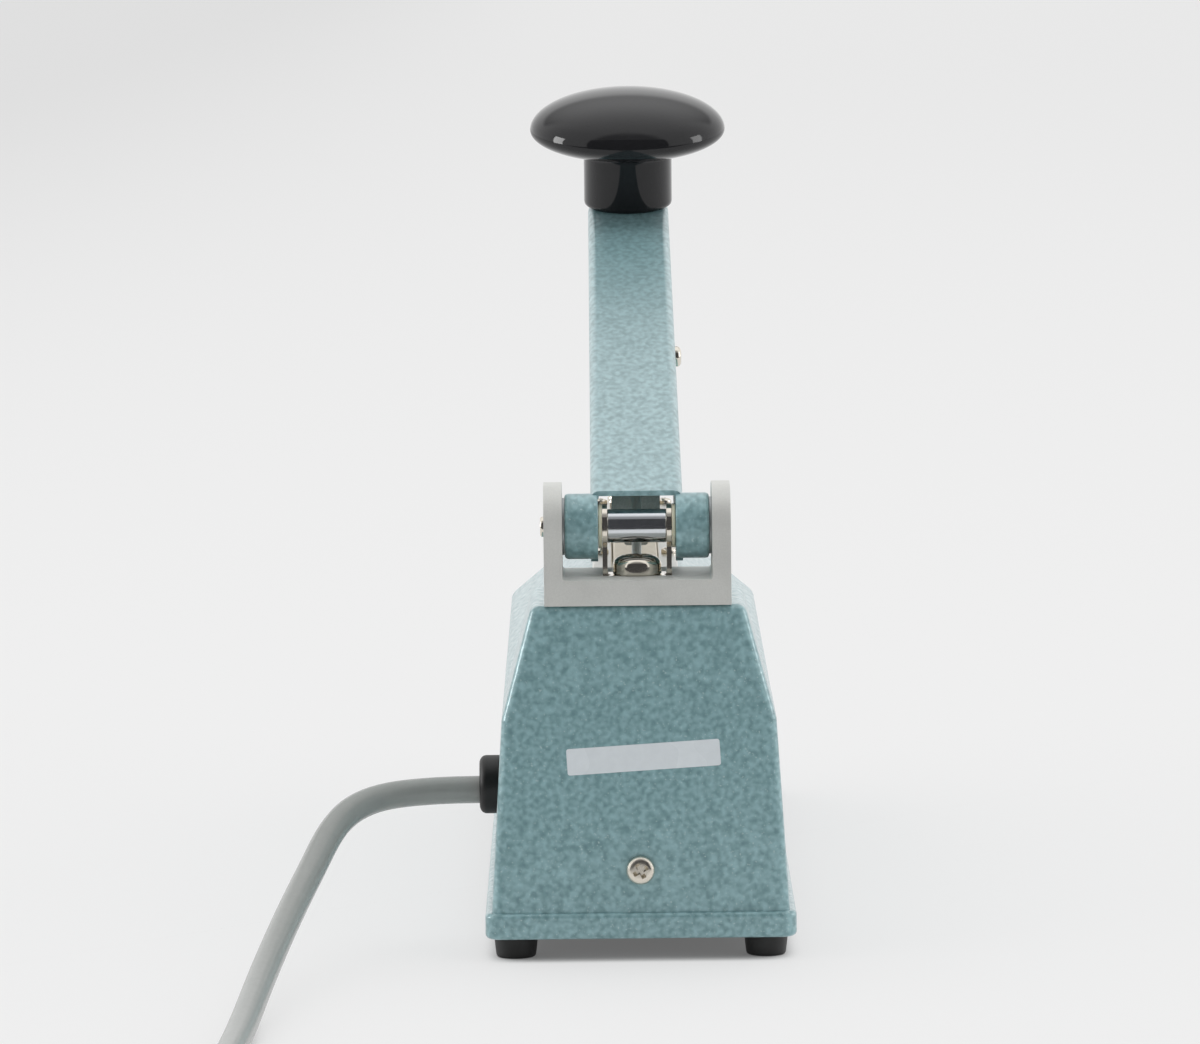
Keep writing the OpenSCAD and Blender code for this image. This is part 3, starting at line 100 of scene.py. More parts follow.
class SealerSizes(bpy.types.PropertyGroup):
    """Sizes of the sealer's pieces"""

    rim_top: length("Rim top", "Height of the rim's top edge above the table", 12)
    foot_width: length("Foot width", "Width of the casting just above the rim", 72.8)
    shoulder_height: length("Shoulder height", "Height at which the casting's sides turn inwards", 59)
    shoulder_width: length("Shoulder width", "Width of the casting at the shoulder", 67)
    land_height: length("Land height", "Height of the land that carries the sealing bed", 76.8)
    land_width: length("Land width", "Width of the land under the sealing bed", 26)
    pedestal_height: length("Pedestal height", "Height of the pedestal under the pivot bracket", 87)
    pedestal_width: length("Pedestal width", "Width of the pedestal's top", 52)
    pedestal_length: length("Pedestal length", "Length of the pedestal's top", 42)
    casting_wall: length("Casting wall", "Wall thickness of the casting", 3)
    casting_edge: length("Casting edge", "Rounding of the casting's outer edges", 2.5)
    casting_hollow: length("Casting hollow", "Rounding of the casting's inner corners", 1.6)
    rim_lip: length("Rim lip", "How far the rim stands out from the casting's foot", 1.6)
    rim_corner: length("Rim corner", "Corner radius of the rim seen from above", 4)
    rim_edge: length("Rim edge", "Rounding of the rim's upper and lower edges", 1.2)
    rear_lean: angle("Rear lean", "Draft of the rear wall", 1.5)
    panel_lean: angle("Panel lean", "Lean of the front panel", 21)
    step_lean: angle("Step lean", "Lean of the step between the land and the pedestal", 12)
    label_width: length("Label width", "Width of the bare label on the rear wall", 37.4)
    label_height: length("Label height", "Height of the bare label on the rear wall", 6.5)
    label_turn: angle("Label turn", "Slant at which the label was stuck on", 3.4)
    bracket_wall: length("Bracket wall", "Thickness of the pivot bracket's ears", 4.5)
    bracket_floor: length("Bracket floor", "Thickness of the pivot bracket's floor", 6.2)
    ear_radius: length("Ear radius", "Rounding of the top of the bracket's ears", 10.5)
    bracket_edge: length("Bracket edge", "Rounding of the bracket's edges", 0.45)
    arm_width: length("Arm width", "Width of the arm over its walls", 22.5)
    arm_wall: length("Arm wall", "Wall thickness of the arm", 1.75)
    arm_roof: length("Arm roof", "Thickness of the arm's top", 1.3)
    arm_top: length("Arm top", "Height of the arm's top above the axle", 8.9)
    arm_skirt: length("Arm skirt", "Depth of the arm's walls below the axle at the rear", 9)
    arm_skirt_front: length("Front skirt", "Depth of the arm's walls below the axle's level at the front", 7)
    arm_length: length("Arm length", "Distance from the axle to the middle of the knob", 290)
    arm_edge: length("Arm edge", "Rounding of the arm's top edges", 2.2)
    boss_diameter: length("Boss diameter", "Diameter of the arm's pivot bosses", 16)
    boss_reach: length("Boss reach", "Distance of the bosses' end faces from the middle", 17.65)
    knob_diameter: length("Knob diameter", "Diameter of the press knob", 54.6)
    knob_height: length("Knob height", "Height of the knob's widest line above the arm", 21.7)
    knob_rise: length("Knob rise", "Height of the dome above the widest line", 10.7)
    knob_drop: length("Knob drop", "Depth of the underside below the widest line", 7.2)
    stem_diameter: length("Stem diameter", "Diameter of the knob's stem", 24.7)
    cord_diameter: length("Cord diameter", "Outer diameter of the mains cord", 6.8)
    cord_length: length("Cord length", "Length of the mains cord outside the casting", 1550.6)
    spring_wire: length("Spring wire", "Wire thickness of the lift spring", 0.7)
    spring_diameter: length("Spring diameter", "Diameter of the lift spring at the middle of its wire", 5.6)
    cloth_thickness: length("Cloth thickness", "Thickness of the cover cloth", 0.25)
    dial_diameter: length("Dial diameter", "Diameter of the timer dial's skirt", 34)
    dial_height: length("Dial height", "Height of the timer dial above its skirt's foot", 15)


class SealerColours(bpy.types.PropertyGroup):
    """Colours of the sealer's finishes"""

    paint: colour("Paint", "Hammered paint between the blots", 159, 198, 203)
    paint_blot: colour("Paint blots", "Darker blots of the hammered paint", 107, 145, 150)
    paint_spark: colour("Paint sparks", "Bright flakes in the hammered paint", 205, 226, 226)
    aluminium: colour("Aluminium", "Blasted aluminium of the bracket, and the drawn rail", 213, 214, 210)
    nickel: colour("Nickel", "Bright nickel plating", 226, 220, 208)
    zinc: colour("Zinc", "Zinc-plated steel sheet", 176, 180, 182)
    gloss_black: colour("Gloss black", "Polished black phenolic of the knob", 33, 33, 35)
    moulded_black: colour("Moulded black", "Moulded black plastic", 24, 24, 25)
    rubber: colour("Rubber", "Rubber of the feet and the grommet", 20, 20, 20)
    cord: colour("Cord", "Grey jacket of the mains cord", 154, 157, 154)
    cream: colour("Cream", "Nylon of the washers and the switch button", 236, 228, 200)
    label: colour("Label", "Pale film of the bare label", 230, 237, 241)
    cloth: colour("Cloth", "Coated glass cloth over the sealing bed", 222, 210, 184)
    brass: colour("Brass", "Brass of the rod's bush and the board's spacers", 196, 158, 88)
    phenolic: colour("Phenolic", "Brown phenolic insulation", 104, 66, 42)
    silicone: colour("Silicone", "Silicone rubber of the presser", 176, 172, 164)
    presser: colour("Presser", "Presser bar", 202, 204, 202)
    copper: colour("Copper", "Enamelled winding", 158, 92, 48)
    iron: colour("Iron", "Transformer core", 78, 80, 84)
    board: colour("Board", "Circuit board", 40, 92, 62)
    lens: colour("Lens", "Signal lamp lens", 196, 48, 26)
    white: colour("White", "White plastic of the rod, and the print on the dial", 232, 232, 228)
    chrome: colour("Chrome", "Polished tube in the pivot", 214, 218, 222)
    card: colour("Card", "Dark cards that only reflections see", 72, 72, 74)
    floor: colour("Floor", "Pale studio floor", 238, 238, 238)


def sizes():
    return bpy.context.scene.sealer_sizes


def colours():
    return bpy.context.scene.sealer_colours


# ---------------------------------------------------------------- modelling by hand


def only(*pieces):
    """Leave edit mode and select these pieces alone; the first is active."""
    if bpy.context.mode != "OBJECT":
        bpy.ops.object.mode_set(mode="OBJECT")
    bpy.ops.object.select_all(action="DESELECT")
    for piece in pieces:
        piece.select_set(True)
    if pieces:
        bpy.context.view_layer.objects.active = pieces[0]


def begin_edit(piece):
    """Open a piece in edit mode, with all of it selected."""
    only(piece)
    bpy.ops.object.mode_set(mode="EDIT")
    bpy.ops.mesh.select_all(action="SELECT")


def end_edit():
    bpy.ops.object.mode_set(mode="OBJECT")


def name_new(name):
    """Name the piece that was just added."""
    piece = bpy.context.object
    piece.name = piece.data.name = name
    return piece


def pick(piece, kind, test):
    """Select in edit mode the vertices, edges or faces that pass a test of themselves and their middle."""
    bpy.ops.mesh.select_mode(type=kind)
    bpy.ops.mesh.select_all(action="DESELECT")
    mesh = bmesh.from_edit_mesh(piece.data)
    for item in {"VERT": mesh.verts, "EDGE": mesh.edges, "FACE": mesh.faces}[kind]:
        middle = item.co if kind == "VERT" else sum((v.co for v in item.verts), Vector()) / len(item.verts)
        item.select_set(bool(test(item, middle)))
    mesh.select_flush_mode()
    bmesh.update_edit_mesh(piece.data)


def move_picked(piece, rule):
    """Set each selected vertex where a rule puts it."""
    mesh = bmesh.from_edit_mesh(piece.data)
    for vertex in mesh.verts:
        if vertex.select:
            vertex.co = rule(vertex.co.copy())
    bmesh.update_edit_mesh(piece.data)


def draw_out(offset):
    """Extrude what is selected, and move it."""
    bpy.ops.mesh.extrude_region_move(TRANSFORM_OT_translate={"value": offset})


def close_up():
    """Merge the doubles of the whole mesh and turn its faces outwards."""
    bpy.ops.mesh.select_all(action="SELECT")
    bpy.ops.mesh.remove_doubles(threshold=0.001 * MM)
    bpy.ops.mesh.normals_make_consistent(inside=False)


def set_in(piece, place):
    """Put a piece at its place and keep the place in its mesh."""
    only(piece)
    piece.matrix_world = place
    bpy.ops.object.transform_apply(location=True, rotation=True, scale=True)
    return piece


def block(name, low, high, place=Matrix.Identity(4)):
    """A cube drawn to two corners."""
    only()
    bpy.ops.mesh.primitive_cube_add(size=1)
    piece = name_new(name)
    low, high = Vector(low), Vector(high)
    begin_edit(piece)
    move_picked(piece, lambda co: Vector(a if c < 0 else b for c, a, b in zip(co, low, high)))
    end_edit()
    return set_in(piece, place)


def block_mm(name, low, high, place=Matrix.Identity(4)):
    """A block with its corners in millimetres."""
    return block(name, *scaled([low, high]), place)


def chain(name, points):
    """A run of vertices, each extruded from the last, left in edit mode."""
    only()
    bpy.ops.mesh.primitive_plane_add(size=MM)
    piece = name_new(name)
    begin_edit(piece)
    bpy.ops.mesh.select_mode(type="VERT")
    bpy.ops.mesh.merge(type="CENTER")
    points = [Vector(p) for p in points]
    bpy.ops.transform.translate(value=points[0])
    for a, b in zip(points, points[1:]):
        draw_out(b - a)
    return piece


def prism(name, outline, along, place=Matrix.Identity(4)):
    """A closed outline, filled and drawn out in a straight line."""
    piece = chain(name, outline)
    bpy.ops.mesh.select_all(action="SELECT")
    bpy.ops.mesh.edge_face_add()
    draw_out(along)
    close_up()
    end_edit()
    return set_in(piece, place)


def lathe(name, profile, steps=48, place=Matrix.Identity(4)):
    """A profile of radius and height, spun once round the Z axis."""
    piece = chain(name, [(r, 0, z) for r, z in profile])
    bpy.ops.mesh.select_all(action="SELECT")
    bpy.ops.mesh.spin(steps=steps, angle=FULL_TURN, center=(0, 0, 0), axis=(0, 0, 1))
    close_up()
    end_edit()
    return set_in(piece, place)


def rod(name, radius, low, high, steps, place=Matrix.Identity(4)):
    """A plain round rod between two heights in millimetres, most often to bore a hole with."""
    return lathe(name, scaled([(0, low), (radius, low), (radius, high), (0, high)]), steps, place)


def arc(centre, radius, start, end, steps):
    """Points of a circle's arc in a plane, with its angles in degrees."""
    turns = [math.radians(start + (end - start) * i / steps) for i in range(steps + 1)]
    return [(centre[0] + radius * math.cos(t), centre[1] + radius * math.sin(t)) for t in turns]


def soften(corners, steps=4):
    """Points of a profile whose corners, given as across, up and radius, are rounded."""
    points = []
    for i, (x, y, radius) in enumerate(corners):
        here = Vector((x, y))
        if not radius or i in (0, len(corners) - 1):
            points.append((x, y))
            continue
        back = (Vector(corners[i - 1][:2]) - here).normalized()
        on = (Vector(corners[i + 1][:2]) - here).normalized()
        half = back.angle(on) / 2
        centre = here + (back + on).normalized() * (radius / math.sin(half))
        first = here + back * (radius / math.tan(half)) - centre
        last = here + on * (radius / math.tan(half)) - centre
        turn = first.angle_signed(last)
        for k in range(steps + 1):
            spoke = first.copy()
            spoke.rotate(Matrix.Rotation(-turn * k / steps, 2))
            points.append(tuple(centre + spoke))
    return points


def scaled(points):
    """Points in metres of points in millimetres."""
    return [tuple(MM * c for c in p) for p in points]


def apply_modifier(piece, kind, **settings):
    """Give a piece a modifier with these settings, and apply it."""
    only(piece)
    modifier = piece.modifiers.new(kind.lower(), kind)
    for key, value in settings.items():
        setattr(modifier, key, value)
    bpy.ops.object.modifier_apply(modifier=modifier.name)
    return piece


def combine(piece, tool, operation="DIFFERENCE"):
    """Cut a tool out of a piece, or weld it on."""
    apply_modifier(piece, "BOOLEAN", operation=operation, solver="EXACT", object=tool)
    bpy.data.objects.remove(tool)
    return piece


def round_edges(piece, radius, segments=4, choose=None, least=8):
    """Round the edges that turn by more than a few degrees, all to one radius."""
    begin_edit(piece)
    mesh = bmesh.from_edit_mesh(piece.data)
    layers = mesh.edges.layers.float
    weight = layers.get("bevel_weight_edge") or layers.new("bevel_weight_edge")
    for edge in mesh.edges:
        turn = edge.calc_face_angle(0) if len(edge.link_faces) == 2 else 0
        middle = (edge.verts[0].co + edge.verts[1].co) / 2
        chosen = turn > math.radians(least) and (choose is None or choose(edge, middle))
        edge[weight] = min(1, math.tan(turn / 2)) if chosen else 0
    bmesh.update_edit_mesh(piece.data)
    end_edit()
    return apply_modifier(piece, "BEVEL", width=radius, segments=segments, limit_method="WEIGHT")


def join(name, pieces):
    """One piece made of several."""
    only(*pieces)
    if len(pieces) > 1:
        bpy.ops.object.join()
    return name_new(name)


def copies(name, piece, places):
    """One piece made of copies of a model, each with its own mesh."""
    made = []
    for place in places:
        mesh = piece.data.copy()
        mesh.transform(place)
        twin = bpy.data.objects.new(name, mesh)
        bpy.context.collection.objects.link(twin)
        made.append(twin)
    bpy.data.objects.remove(piece)
    return join(name, made)


def hand_over(piece, finish, body, *nodes, slot=None, smooth=40, flat_faces=True):
    """Give a piece its finish, by name, and its body, and hide the solids it stands for."""
    only(piece)
    bpy.ops.object.shade_smooth_by_angle(angle=math.radians(smooth))
    if flat_faces:
        apply_modifier(piece, "WEIGHTED_NORMAL", keep_sharp=True)
    piece.data.materials.clear()
    piece.data.materials.append(FINISHES[finish])
    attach(piece, body)
    if nodes:
        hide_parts(*nodes)
    return piece


# ---------------------------------------------------------------- finishes


def node(tree, kind, settings=None, **inputs):
    """A new shader node; each input is a value or another node's socket, by name or by i and its index."""
    made = tree.nodes.new("ShaderNode" + kind)
    for key, value in (settings or {}).items():
        setattr(made, key, value)
    for key, value in inputs.items():
        numbered = key[0] == "i" and key[1:].isdigit()
        socket = made.inputs[int(key[1:]) if numbered else key.replace("_", " ")]
        if isinstance(value, bpy.types.NodeSocket):
            tree.links.new(value, socket)
        else:
            socket.default_value = value
    return made


def shares(tree, value, low, high, to_low=0.0, to_high=1.0):
    """A value spread smoothly from one range to another."""
    made = node(
        tree, "MapRange", {"interpolation_type": "SMOOTHSTEP"}, i0=value, i1=low, i2=high, i3=to_low, i4=to_high
    )
    return made.outputs[0]


def calc(tree, operation, a, b=0.0):
    """A sum of one or two values."""
    return node(tree, "Math", {"operation": operation}, i0=a, i1=b).outputs[0]


def mixed(tree, share, a, b):
    """A colour between two others."""
    return node(tree, "Mix", {"data_type": "RGBA"}, i0=share, i6=a, i7=b).outputs[2]


def rgba(c):
    return (*c, 1.0)


def dimmed(base, share):
    return rgba([c * share for c in base])


def two_tones(base, spread):
    """A colour made darker and made lighter by the same share."""
    return dimmed(base, 1 - spread), rgba([min(1, c * (1 + spread)) for c in base])


def effect(name, inputs, outputs):
    """A new node group with a vector and named values coming in, and named values going out."""
    tree = bpy.data.node_groups.new(name, "ShaderNodeTree")
    tree.interface.new_socket("Vector", in_out="INPUT", socket_type="NodeSocketVector")
    for label, value in inputs.items():
        tree.interface.new_socket(label, in_out="INPUT", socket_type="NodeSocketFloat").default_value = value
    for label in outputs:
        tree.interface.new_socket(label, in_out="OUTPUT", socket_type="NodeSocketFloat")
    return tree, tree.nodes.new("NodeGroupInput").outputs, tree.nodes.new("NodeGroupOutput").inputs


def build_effects():
    """The patterns that the finishes share."""
    tree, into, out = effect("fine_grain", {"Scale": 900.0, "Patches": 60.0}, ["Grain", "Patch", "Height"])
    fine = node(tree, "TexNoise", Vector=into["Vector"], Scale=into["Scale"], Detail=3.0, Roughness=0.6).outputs[0]
    broad = node(tree, "TexNoise", Vector=into["Vector"], Scale=into["Patches"], Detail=2.0).outputs[0]
    tree.links.new(shares(tree, fine, 0.3, 0.7), out["Grain"])
    tree.links.new(shares(tree, broad, 0.35, 0.65), out["Patch"])
    tree.links.new(fine, out["Height"])

    tree, into, out = effect("hammered_blots", {"Scale": 720.0, "Length": 1.0}, ["Blots", "Sparks", "Height"])
    stretch = node(tree, "CombineXYZ", X=1.0, Y=into["Length"], Z=1.0).outputs[0]
    place = node(tree, "VectorMath", {"operation": "DIVIDE"}, i0=into["Vector"], i1=stretch).outputs[0]
    worm = node(tree, "TexNoise", Vector=place, Scale=into["Scale"], Detail=0.6, Distortion=0.25).outputs[0]
    blots = shares(tree, worm, 0.95, 0.05)
    spark = node(tree, "TexNoise", Vector=place, Scale=1900.0, Detail=1.0).outputs[0]
    tree.links.new(blots, out["Blots"])
    tree.links.new(shares(tree, spark, 0.64, 0.78), out["Sparks"])
    tree.links.new(calc(tree, "SUBTRACT", 1.0, blots), out["Height"])

    tree, into, out = effect("drawn_lines", {"Across": 3000.0, "Along": 40.0}, ["Lines", "Height"])
    stretch = node(tree, "CombineXYZ", X=into["Across"], Y=into["Along"], Z=into["Across"]).outputs[0]
    run = node(tree, "VectorMath", {"operation": "MULTIPLY"}, i0=into["Vector"], i1=stretch).outputs[0]
    lines = node(tree, "TexNoise", Vector=run, Scale=1.0, Detail=2.0, Roughness=0.7).outputs[0]
    tree.links.new(shares(tree, lines, 0.3, 0.7), out["Lines"])
    tree.links.new(lines, out["Height"])

    tree, into, out = effect("plain_weave", {"Pitch": 2200.0}, ["Threads", "Height"])
    parts = node(tree, "SeparateXYZ", Vector=into["Vector"]).outputs
    over = calc(tree, "ADD", parts["X"], parts["Z"])
    warp = calc(tree, "SINE", calc(tree, "MULTIPLY", over, into["Pitch"]))
    weft = calc(tree, "SINE", calc(tree, "MULTIPLY", parts["Y"], into["Pitch"]))
    crossing = calc(tree, "MULTIPLY", warp, weft)
    tree.links.new(shares(tree, crossing, -0.6, 0.6), out["Threads"])
    tree.links.new(crossing, out["Height"])


def start_finish(name, roughness, **constant):
    """A new material with its shader's constant sockets set, and its object coordinates."""
    made = bpy.data.materials.new(name)
    made.use_nodes = True
    tree = made.node_tree
    shader = tree.nodes["Principled BSDF"]
    shader.inputs["Roughness"].default_value = roughness
    for key, value in constant.items():
        shader.inputs[key.replace("_", " ")].default_value = value
    return made, tree, shader.inputs, node(tree, "TexCoord").outputs["Object"]


def use_effect(tree, name, vector, **values):
    """One of the shared patterns, placed in a finish with its own values."""
    made = tree.nodes.new("ShaderNodeGroup")
    made.node_tree = bpy.data.node_groups[name]
    tree.links.new(vector, made.inputs["Vector"])
    for key, value in values.items():
        made.inputs[key].default_value = value
    return made.outputs


def bump(tree, sockets, height, depth, strength=1.0):
    """Raise a finish's surface by a pattern's height."""
    raised = node(tree, "Bump", Strength=strength, Distance=depth, Height=height)
    tree.links.new(raised.outputs[0], sockets["Normal"])


def grained(
    name, base, roughness, spread=0.12, rough_spread=0.08, scale=900.0, patches=60.0, depth=0.006 * MM, **constant
):
    """A finish with fine grain, soft patches of tone and an uneven gloss."""
    made, tree, sockets, place = start_finish(name, roughness, **constant)
    grain = use_effect(tree, "fine_grain", place, Scale=scale, Patches=patches)
    dark, light = two_tones(base, spread)
    both = calc(tree, "MULTIPLY", calc(tree, "ADD", grain["Grain"], grain["Patch"]), 0.5)
    tree.links.new(mixed(tree, both, dark, light), sockets["Base Color"])
    tree.links.new(
        shares(tree, grain["Patch"], 0, 1, roughness - rough_spread, roughness + rough_spread), sockets["Roughness"]
    )
    bump(tree, sockets, grain["Height"], depth)
    return made


def hammered(name, blot_length=1.0, haze=0.16):
    """Hammered paint: pale ground, darker blots drawn out to a length, bright flakes, dimples and a hazy coat."""
    hue = colours()
    made, tree, sockets, place = start_finish(name, 0.36, Metallic=0.1, Coat_Weight=0.7, Coat_Roughness=haze)
    blots = use_effect(tree, "hammered_blots", place, Length=blot_length)
    dark = mixed(tree, blots["Blots"], rgba(hue.paint), rgba(hue.paint_blot))
    tree.links.new(
        mixed(tree, calc(tree, "MULTIPLY", blots["Sparks"], 0.5), dark, rgba(hue.paint_spark)), sockets["Base Color"]
    )
    tree.links.new(shares(tree, blots["Blots"], 0, 1, 0.3, 0.44), sockets["Roughness"])
    bump(tree, sockets, blots["Height"], 0.015 * MM, 0.6)
    return made


def drawn(name, base, roughness, across=3000.0, along=40.0, spread=0.1, depth=0.004 * MM, **constant):
    """A metal with fine drawn lines."""
    made, tree, sockets, place = start_finish(name, roughness, **constant)
    lines = use_effect(tree, "drawn_lines", place, Across=across, Along=along)
    dark, light = two_tones(base, spread)
    tree.links.new(mixed(tree, lines["Lines"], dark, light), sockets["Base Color"])
    tree.links.new(shares(tree, lines["Lines"], 0, 1, roughness - 0.05, roughness + 0.07), sockets["Roughness"])
    bump(tree, sockets, lines["Height"], depth)
    return made


def woven(name, base):
    """Coated glass cloth with its weave and scorched patches."""
    made, tree, sockets, place = start_finish(name, 0.42, Coat_Weight=0.2, Coat_Roughness=0.3)
    weave = use_effect(tree, "plain_weave", place)
    grain = use_effect(tree, "fine_grain", place, Scale=300.0, Patches=35.0)
    dark = dimmed(base, 0.72)
    cloth = mixed(tree, weave["Threads"], dark, rgba(base))
    tan = mixed(tree, calc(tree, "MULTIPLY", grain["Patch"], 0.3), cloth, dark)
    tree.links.new(tan, sockets["Base Color"])
    tree.links.new(shares(tree, weave["Threads"], 0, 1, 0.5, 0.36), sockets["Roughness"])
    bump(tree, sockets, weave["Height"], 0.02 * MM)
    return made


def far_floor(name, base):
    """Pale floor with painted shade that darkens it far behind the sealer and in one far corner, seen in part as a
    glowing backdrop that carries a painted contact shadow.
    """
    made, tree, sockets, place = start_finish(name, 0.8, Specular_IOR_Level=0.1)
    parts = node(tree, "SeparateXYZ", Vector=place).outputs
    # Painted shade: the floor's colour is made darker far behind the sealer and in one far corner.
    away = shares(tree, parts["Y"], 0.3, -4.5)
    corner = shares(tree, calc(tree, "MULTIPLY", parts["X"], parts["Y"]), 0.0, -2.0)
    far = mixed(tree, away, rgba(base), dimmed(base, 0.935))
    floor = mixed(tree, corner, far, dimmed(base, 0.855))
    tree.links.new(floor, sockets["Base Color"])
    # Painted contact shadow: ambient occlusion darkens the glowing backdrop colour under and beside the sealer.
    near = node(tree, "AmbientOcclusion", {"samples": 16}, Distance=20 * MM).outputs["AO"]
    shade = mixed(tree, shares(tree, near, 0.1, 0.6), dimmed(base, 0.2), floor)
    backdrop = node(tree, "Emission", Color=shade).outputs[0]
    # Camera, glossy and transmission rays see mostly the glow with its painted shade and painted shadow.
    ray = node(tree, "LightPath").outputs
    seen = calc(tree, "MAXIMUM", ray["Is Glossy Ray"], ray["Is Transmission Ray"])
    glow = calc(tree, "MULTIPLY", calc(tree, "MAXIMUM", ray["Is Camera Ray"], seen), 0.7)
    matt = tree.nodes["Principled BSDF"].outputs[0]
    both = node(tree, "MixShader", i0=glow, i1=matt, i2=backdrop)
    tree.links.new(both.outputs[0], tree.nodes["Material Output"].inputs["Surface"])
    return made


def build_finishes():
    """All finishes of the sealer and its stage, by name."""
    hue = colours()
    build_effects()
    metal = {"Metallic": 1.0}
    FINISHES.update(
        paint=hammered("hammered_paint"),
        arm_paint=hammered("arm_paint", 2.2, 0.32),
        aluminium=grained(
            "blasted_aluminium", hue.aluminium, 0.5, 0.06, 0.05, 2600.0, 90.0, 0.004 * MM, Metallic=0.2
        ),
        rail=drawn("drawn_aluminium", hue.aluminium, 0.34, Metallic=0.9),
        nickel=grained("bright_nickel", hue.nickel, 0.12, 0.03, 0.03, 1500.0, 120.0, 0.0008 * MM, **metal),
        dull_nickel=grained("dull_nickel", hue.nickel, 0.26, 0.05, 0.04, 1500.0, 120.0, 0.001 * MM, **metal),
        chrome=grained("bright_chrome", hue.chrome, 0.14, 0.03, 0.03, 1500.0, 120.0, 0.0008 * MM, **metal),
        steel=grained("zinc_plate", hue.zinc, 0.38, 0.08, 0.06, 700.0, 50.0, 0.003 * MM, Metallic=0.85),
        knob=grained("polished_phenolic", hue.gloss_black, 0.06, 0.1, 0.02, 400.0, 30.0, 0.0005 * MM, IOR=1.4),
        black_plastic=grained("moulded_plastic", hue.moulded_black, 0.42, 0.15, 0.08, 2200.0, 60.0, 0.01 * MM),
        black_rubber=grained("black_rubber", hue.rubber, 0.5, 0.2, 0.1, 1400.0, 80.0, 0.012 * MM),
        cord=grained("cord_jacket", hue.cord, 0.24, 0.03, 0.0, 700.0, 200.0, 0.004 * MM),
        nylon=grained("nylon", hue.cream, 0.4, 0.05, 0.05, 900.0, 80.0, 0.004 * MM, Subsurface_Weight=0.1),
        label=grained("label_film", hue.label, 0.3, 0.03, 0.05, 500.0, 40.0, 0.003 * MM),
        cloth=woven("coated_cloth", hue.cloth),
        brass=grained("brass", hue.brass, 0.28, 0.08, 0.05, 900.0, 70.0, 0.003 * MM, **metal),
        phenolic=grained("phenolic", hue.phenolic, 0.45, 0.15, 0.06, 600.0, 70.0, 0.006 * MM),
        silicone=grained("silicone", hue.silicone, 0.55, 0.06, 0.06, 800.0, 50.0, 0.008 * MM),
        presser=drawn("presser_bar", hue.presser, 0.45, Metallic=0.2),
        winding=drawn("winding", hue.copper, 0.4, 1500.0, 1500.0, 0.25, 0.02 * MM, Metallic=0.6),
        core_steel=drawn("core_plates", hue.iron, 0.5, 2000.0, 8.0, 0.2, 0.02 * MM, Metallic=0.7),
        board=grained("board", hue.board, 0.35, 0.1, 0.05, 500.0, 80.0, 0.003 * MM),
        lens=grained("lamp_lens", hue.lens, 0.12, 0.06, 0.03, 300.0, 60.0, 0.001 * MM, Transmission_Weight=0.35),
        white=grained("white_plastic", hue.white, 0.5, 0.04, 0.05, 1500.0, 90.0, 0.002 * MM),
        floor=far_floor("studio_floor", hue.floor),
        flag=grained("dark_card", hue.card, 0.8, Specular_IOR_Level=0.0),
    )


# ---------------------------------------------------------------- places on the sealer

AXLE = Vector(JOINTS["arm_hinge"]["pos_m"])
OPEN_ANGLE = math.radians(JOINTS["arm_hinge"]["range_deg"][1])
ON_ARM = Matrix.Translation(AXLE) @ Matrix.Rotation(-OPEN_ANGLE, 4, "X")
ALONG_X = Matrix.Rotation(QUARTER_TURN, 4, "Y")
AT_AXLE = Matrix.Translation(AXLE) @ ALONG_X
DIAL_SEAT, LAMP_SEAT = (0, 27 * MM), (25 * MM, 41 * MM)
FOOT_RADIUS = 5.4 * MM


def foot_middles():
    """Where the four feet stand."""
    low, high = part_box("rubber_feet")
    across, along = (low.x + FOOT_RADIUS, high.x - FOOT_RADIUS), (low.y + FOOT_RADIUS, high.y - FOOT_RADIUS)
    return [(x, y) for x in across for y in along]


def rear_wall(z):
    """Where the rear wall's face lies at a height."""
    s = sizes()
    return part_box("housing")[1].y - s.rim_lip - (z - s.rim_top) * math.tan(s.rear_lean)


def panel(z):
    """Where the front panel's face lies at a height."""
    s = sizes()
    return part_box("housing")[0].y + s.rim_lip + (z - s.rim_top) * math.tan(s.panel_lean)


def on_panel(x, up):
    """A place on the front panel, with its Z axis outwards and its Y axis up the panel."""
    return (
        Matrix.Translation((0, panel(sizes().rim_top), sizes().rim_top))
        @ Matrix.Rotation(QUARTER_TURN - sizes().panel_lean, 4, "X")
        @ Matrix.Translation((x, up, 0))
    )


def on_rear_wall(x, z, turn=0.0):
    """A place on the rear wall, with its Z axis outwards and its Y axis up the wall."""
    lean = sizes().rear_lean
    up, out = (0, -math.sin(lean), math.cos(lean)), (0, math.cos(lean), math.sin(lean))
    axes = Matrix(((-1, 0, 0), up, out)).transposed()
    return Matrix.Translation((x, rear_wall(z), z)) @ axes.to_4x4() @ Matrix.Rotation(turn, 4, "Z")


# ---------------------------------------------------------------- operators


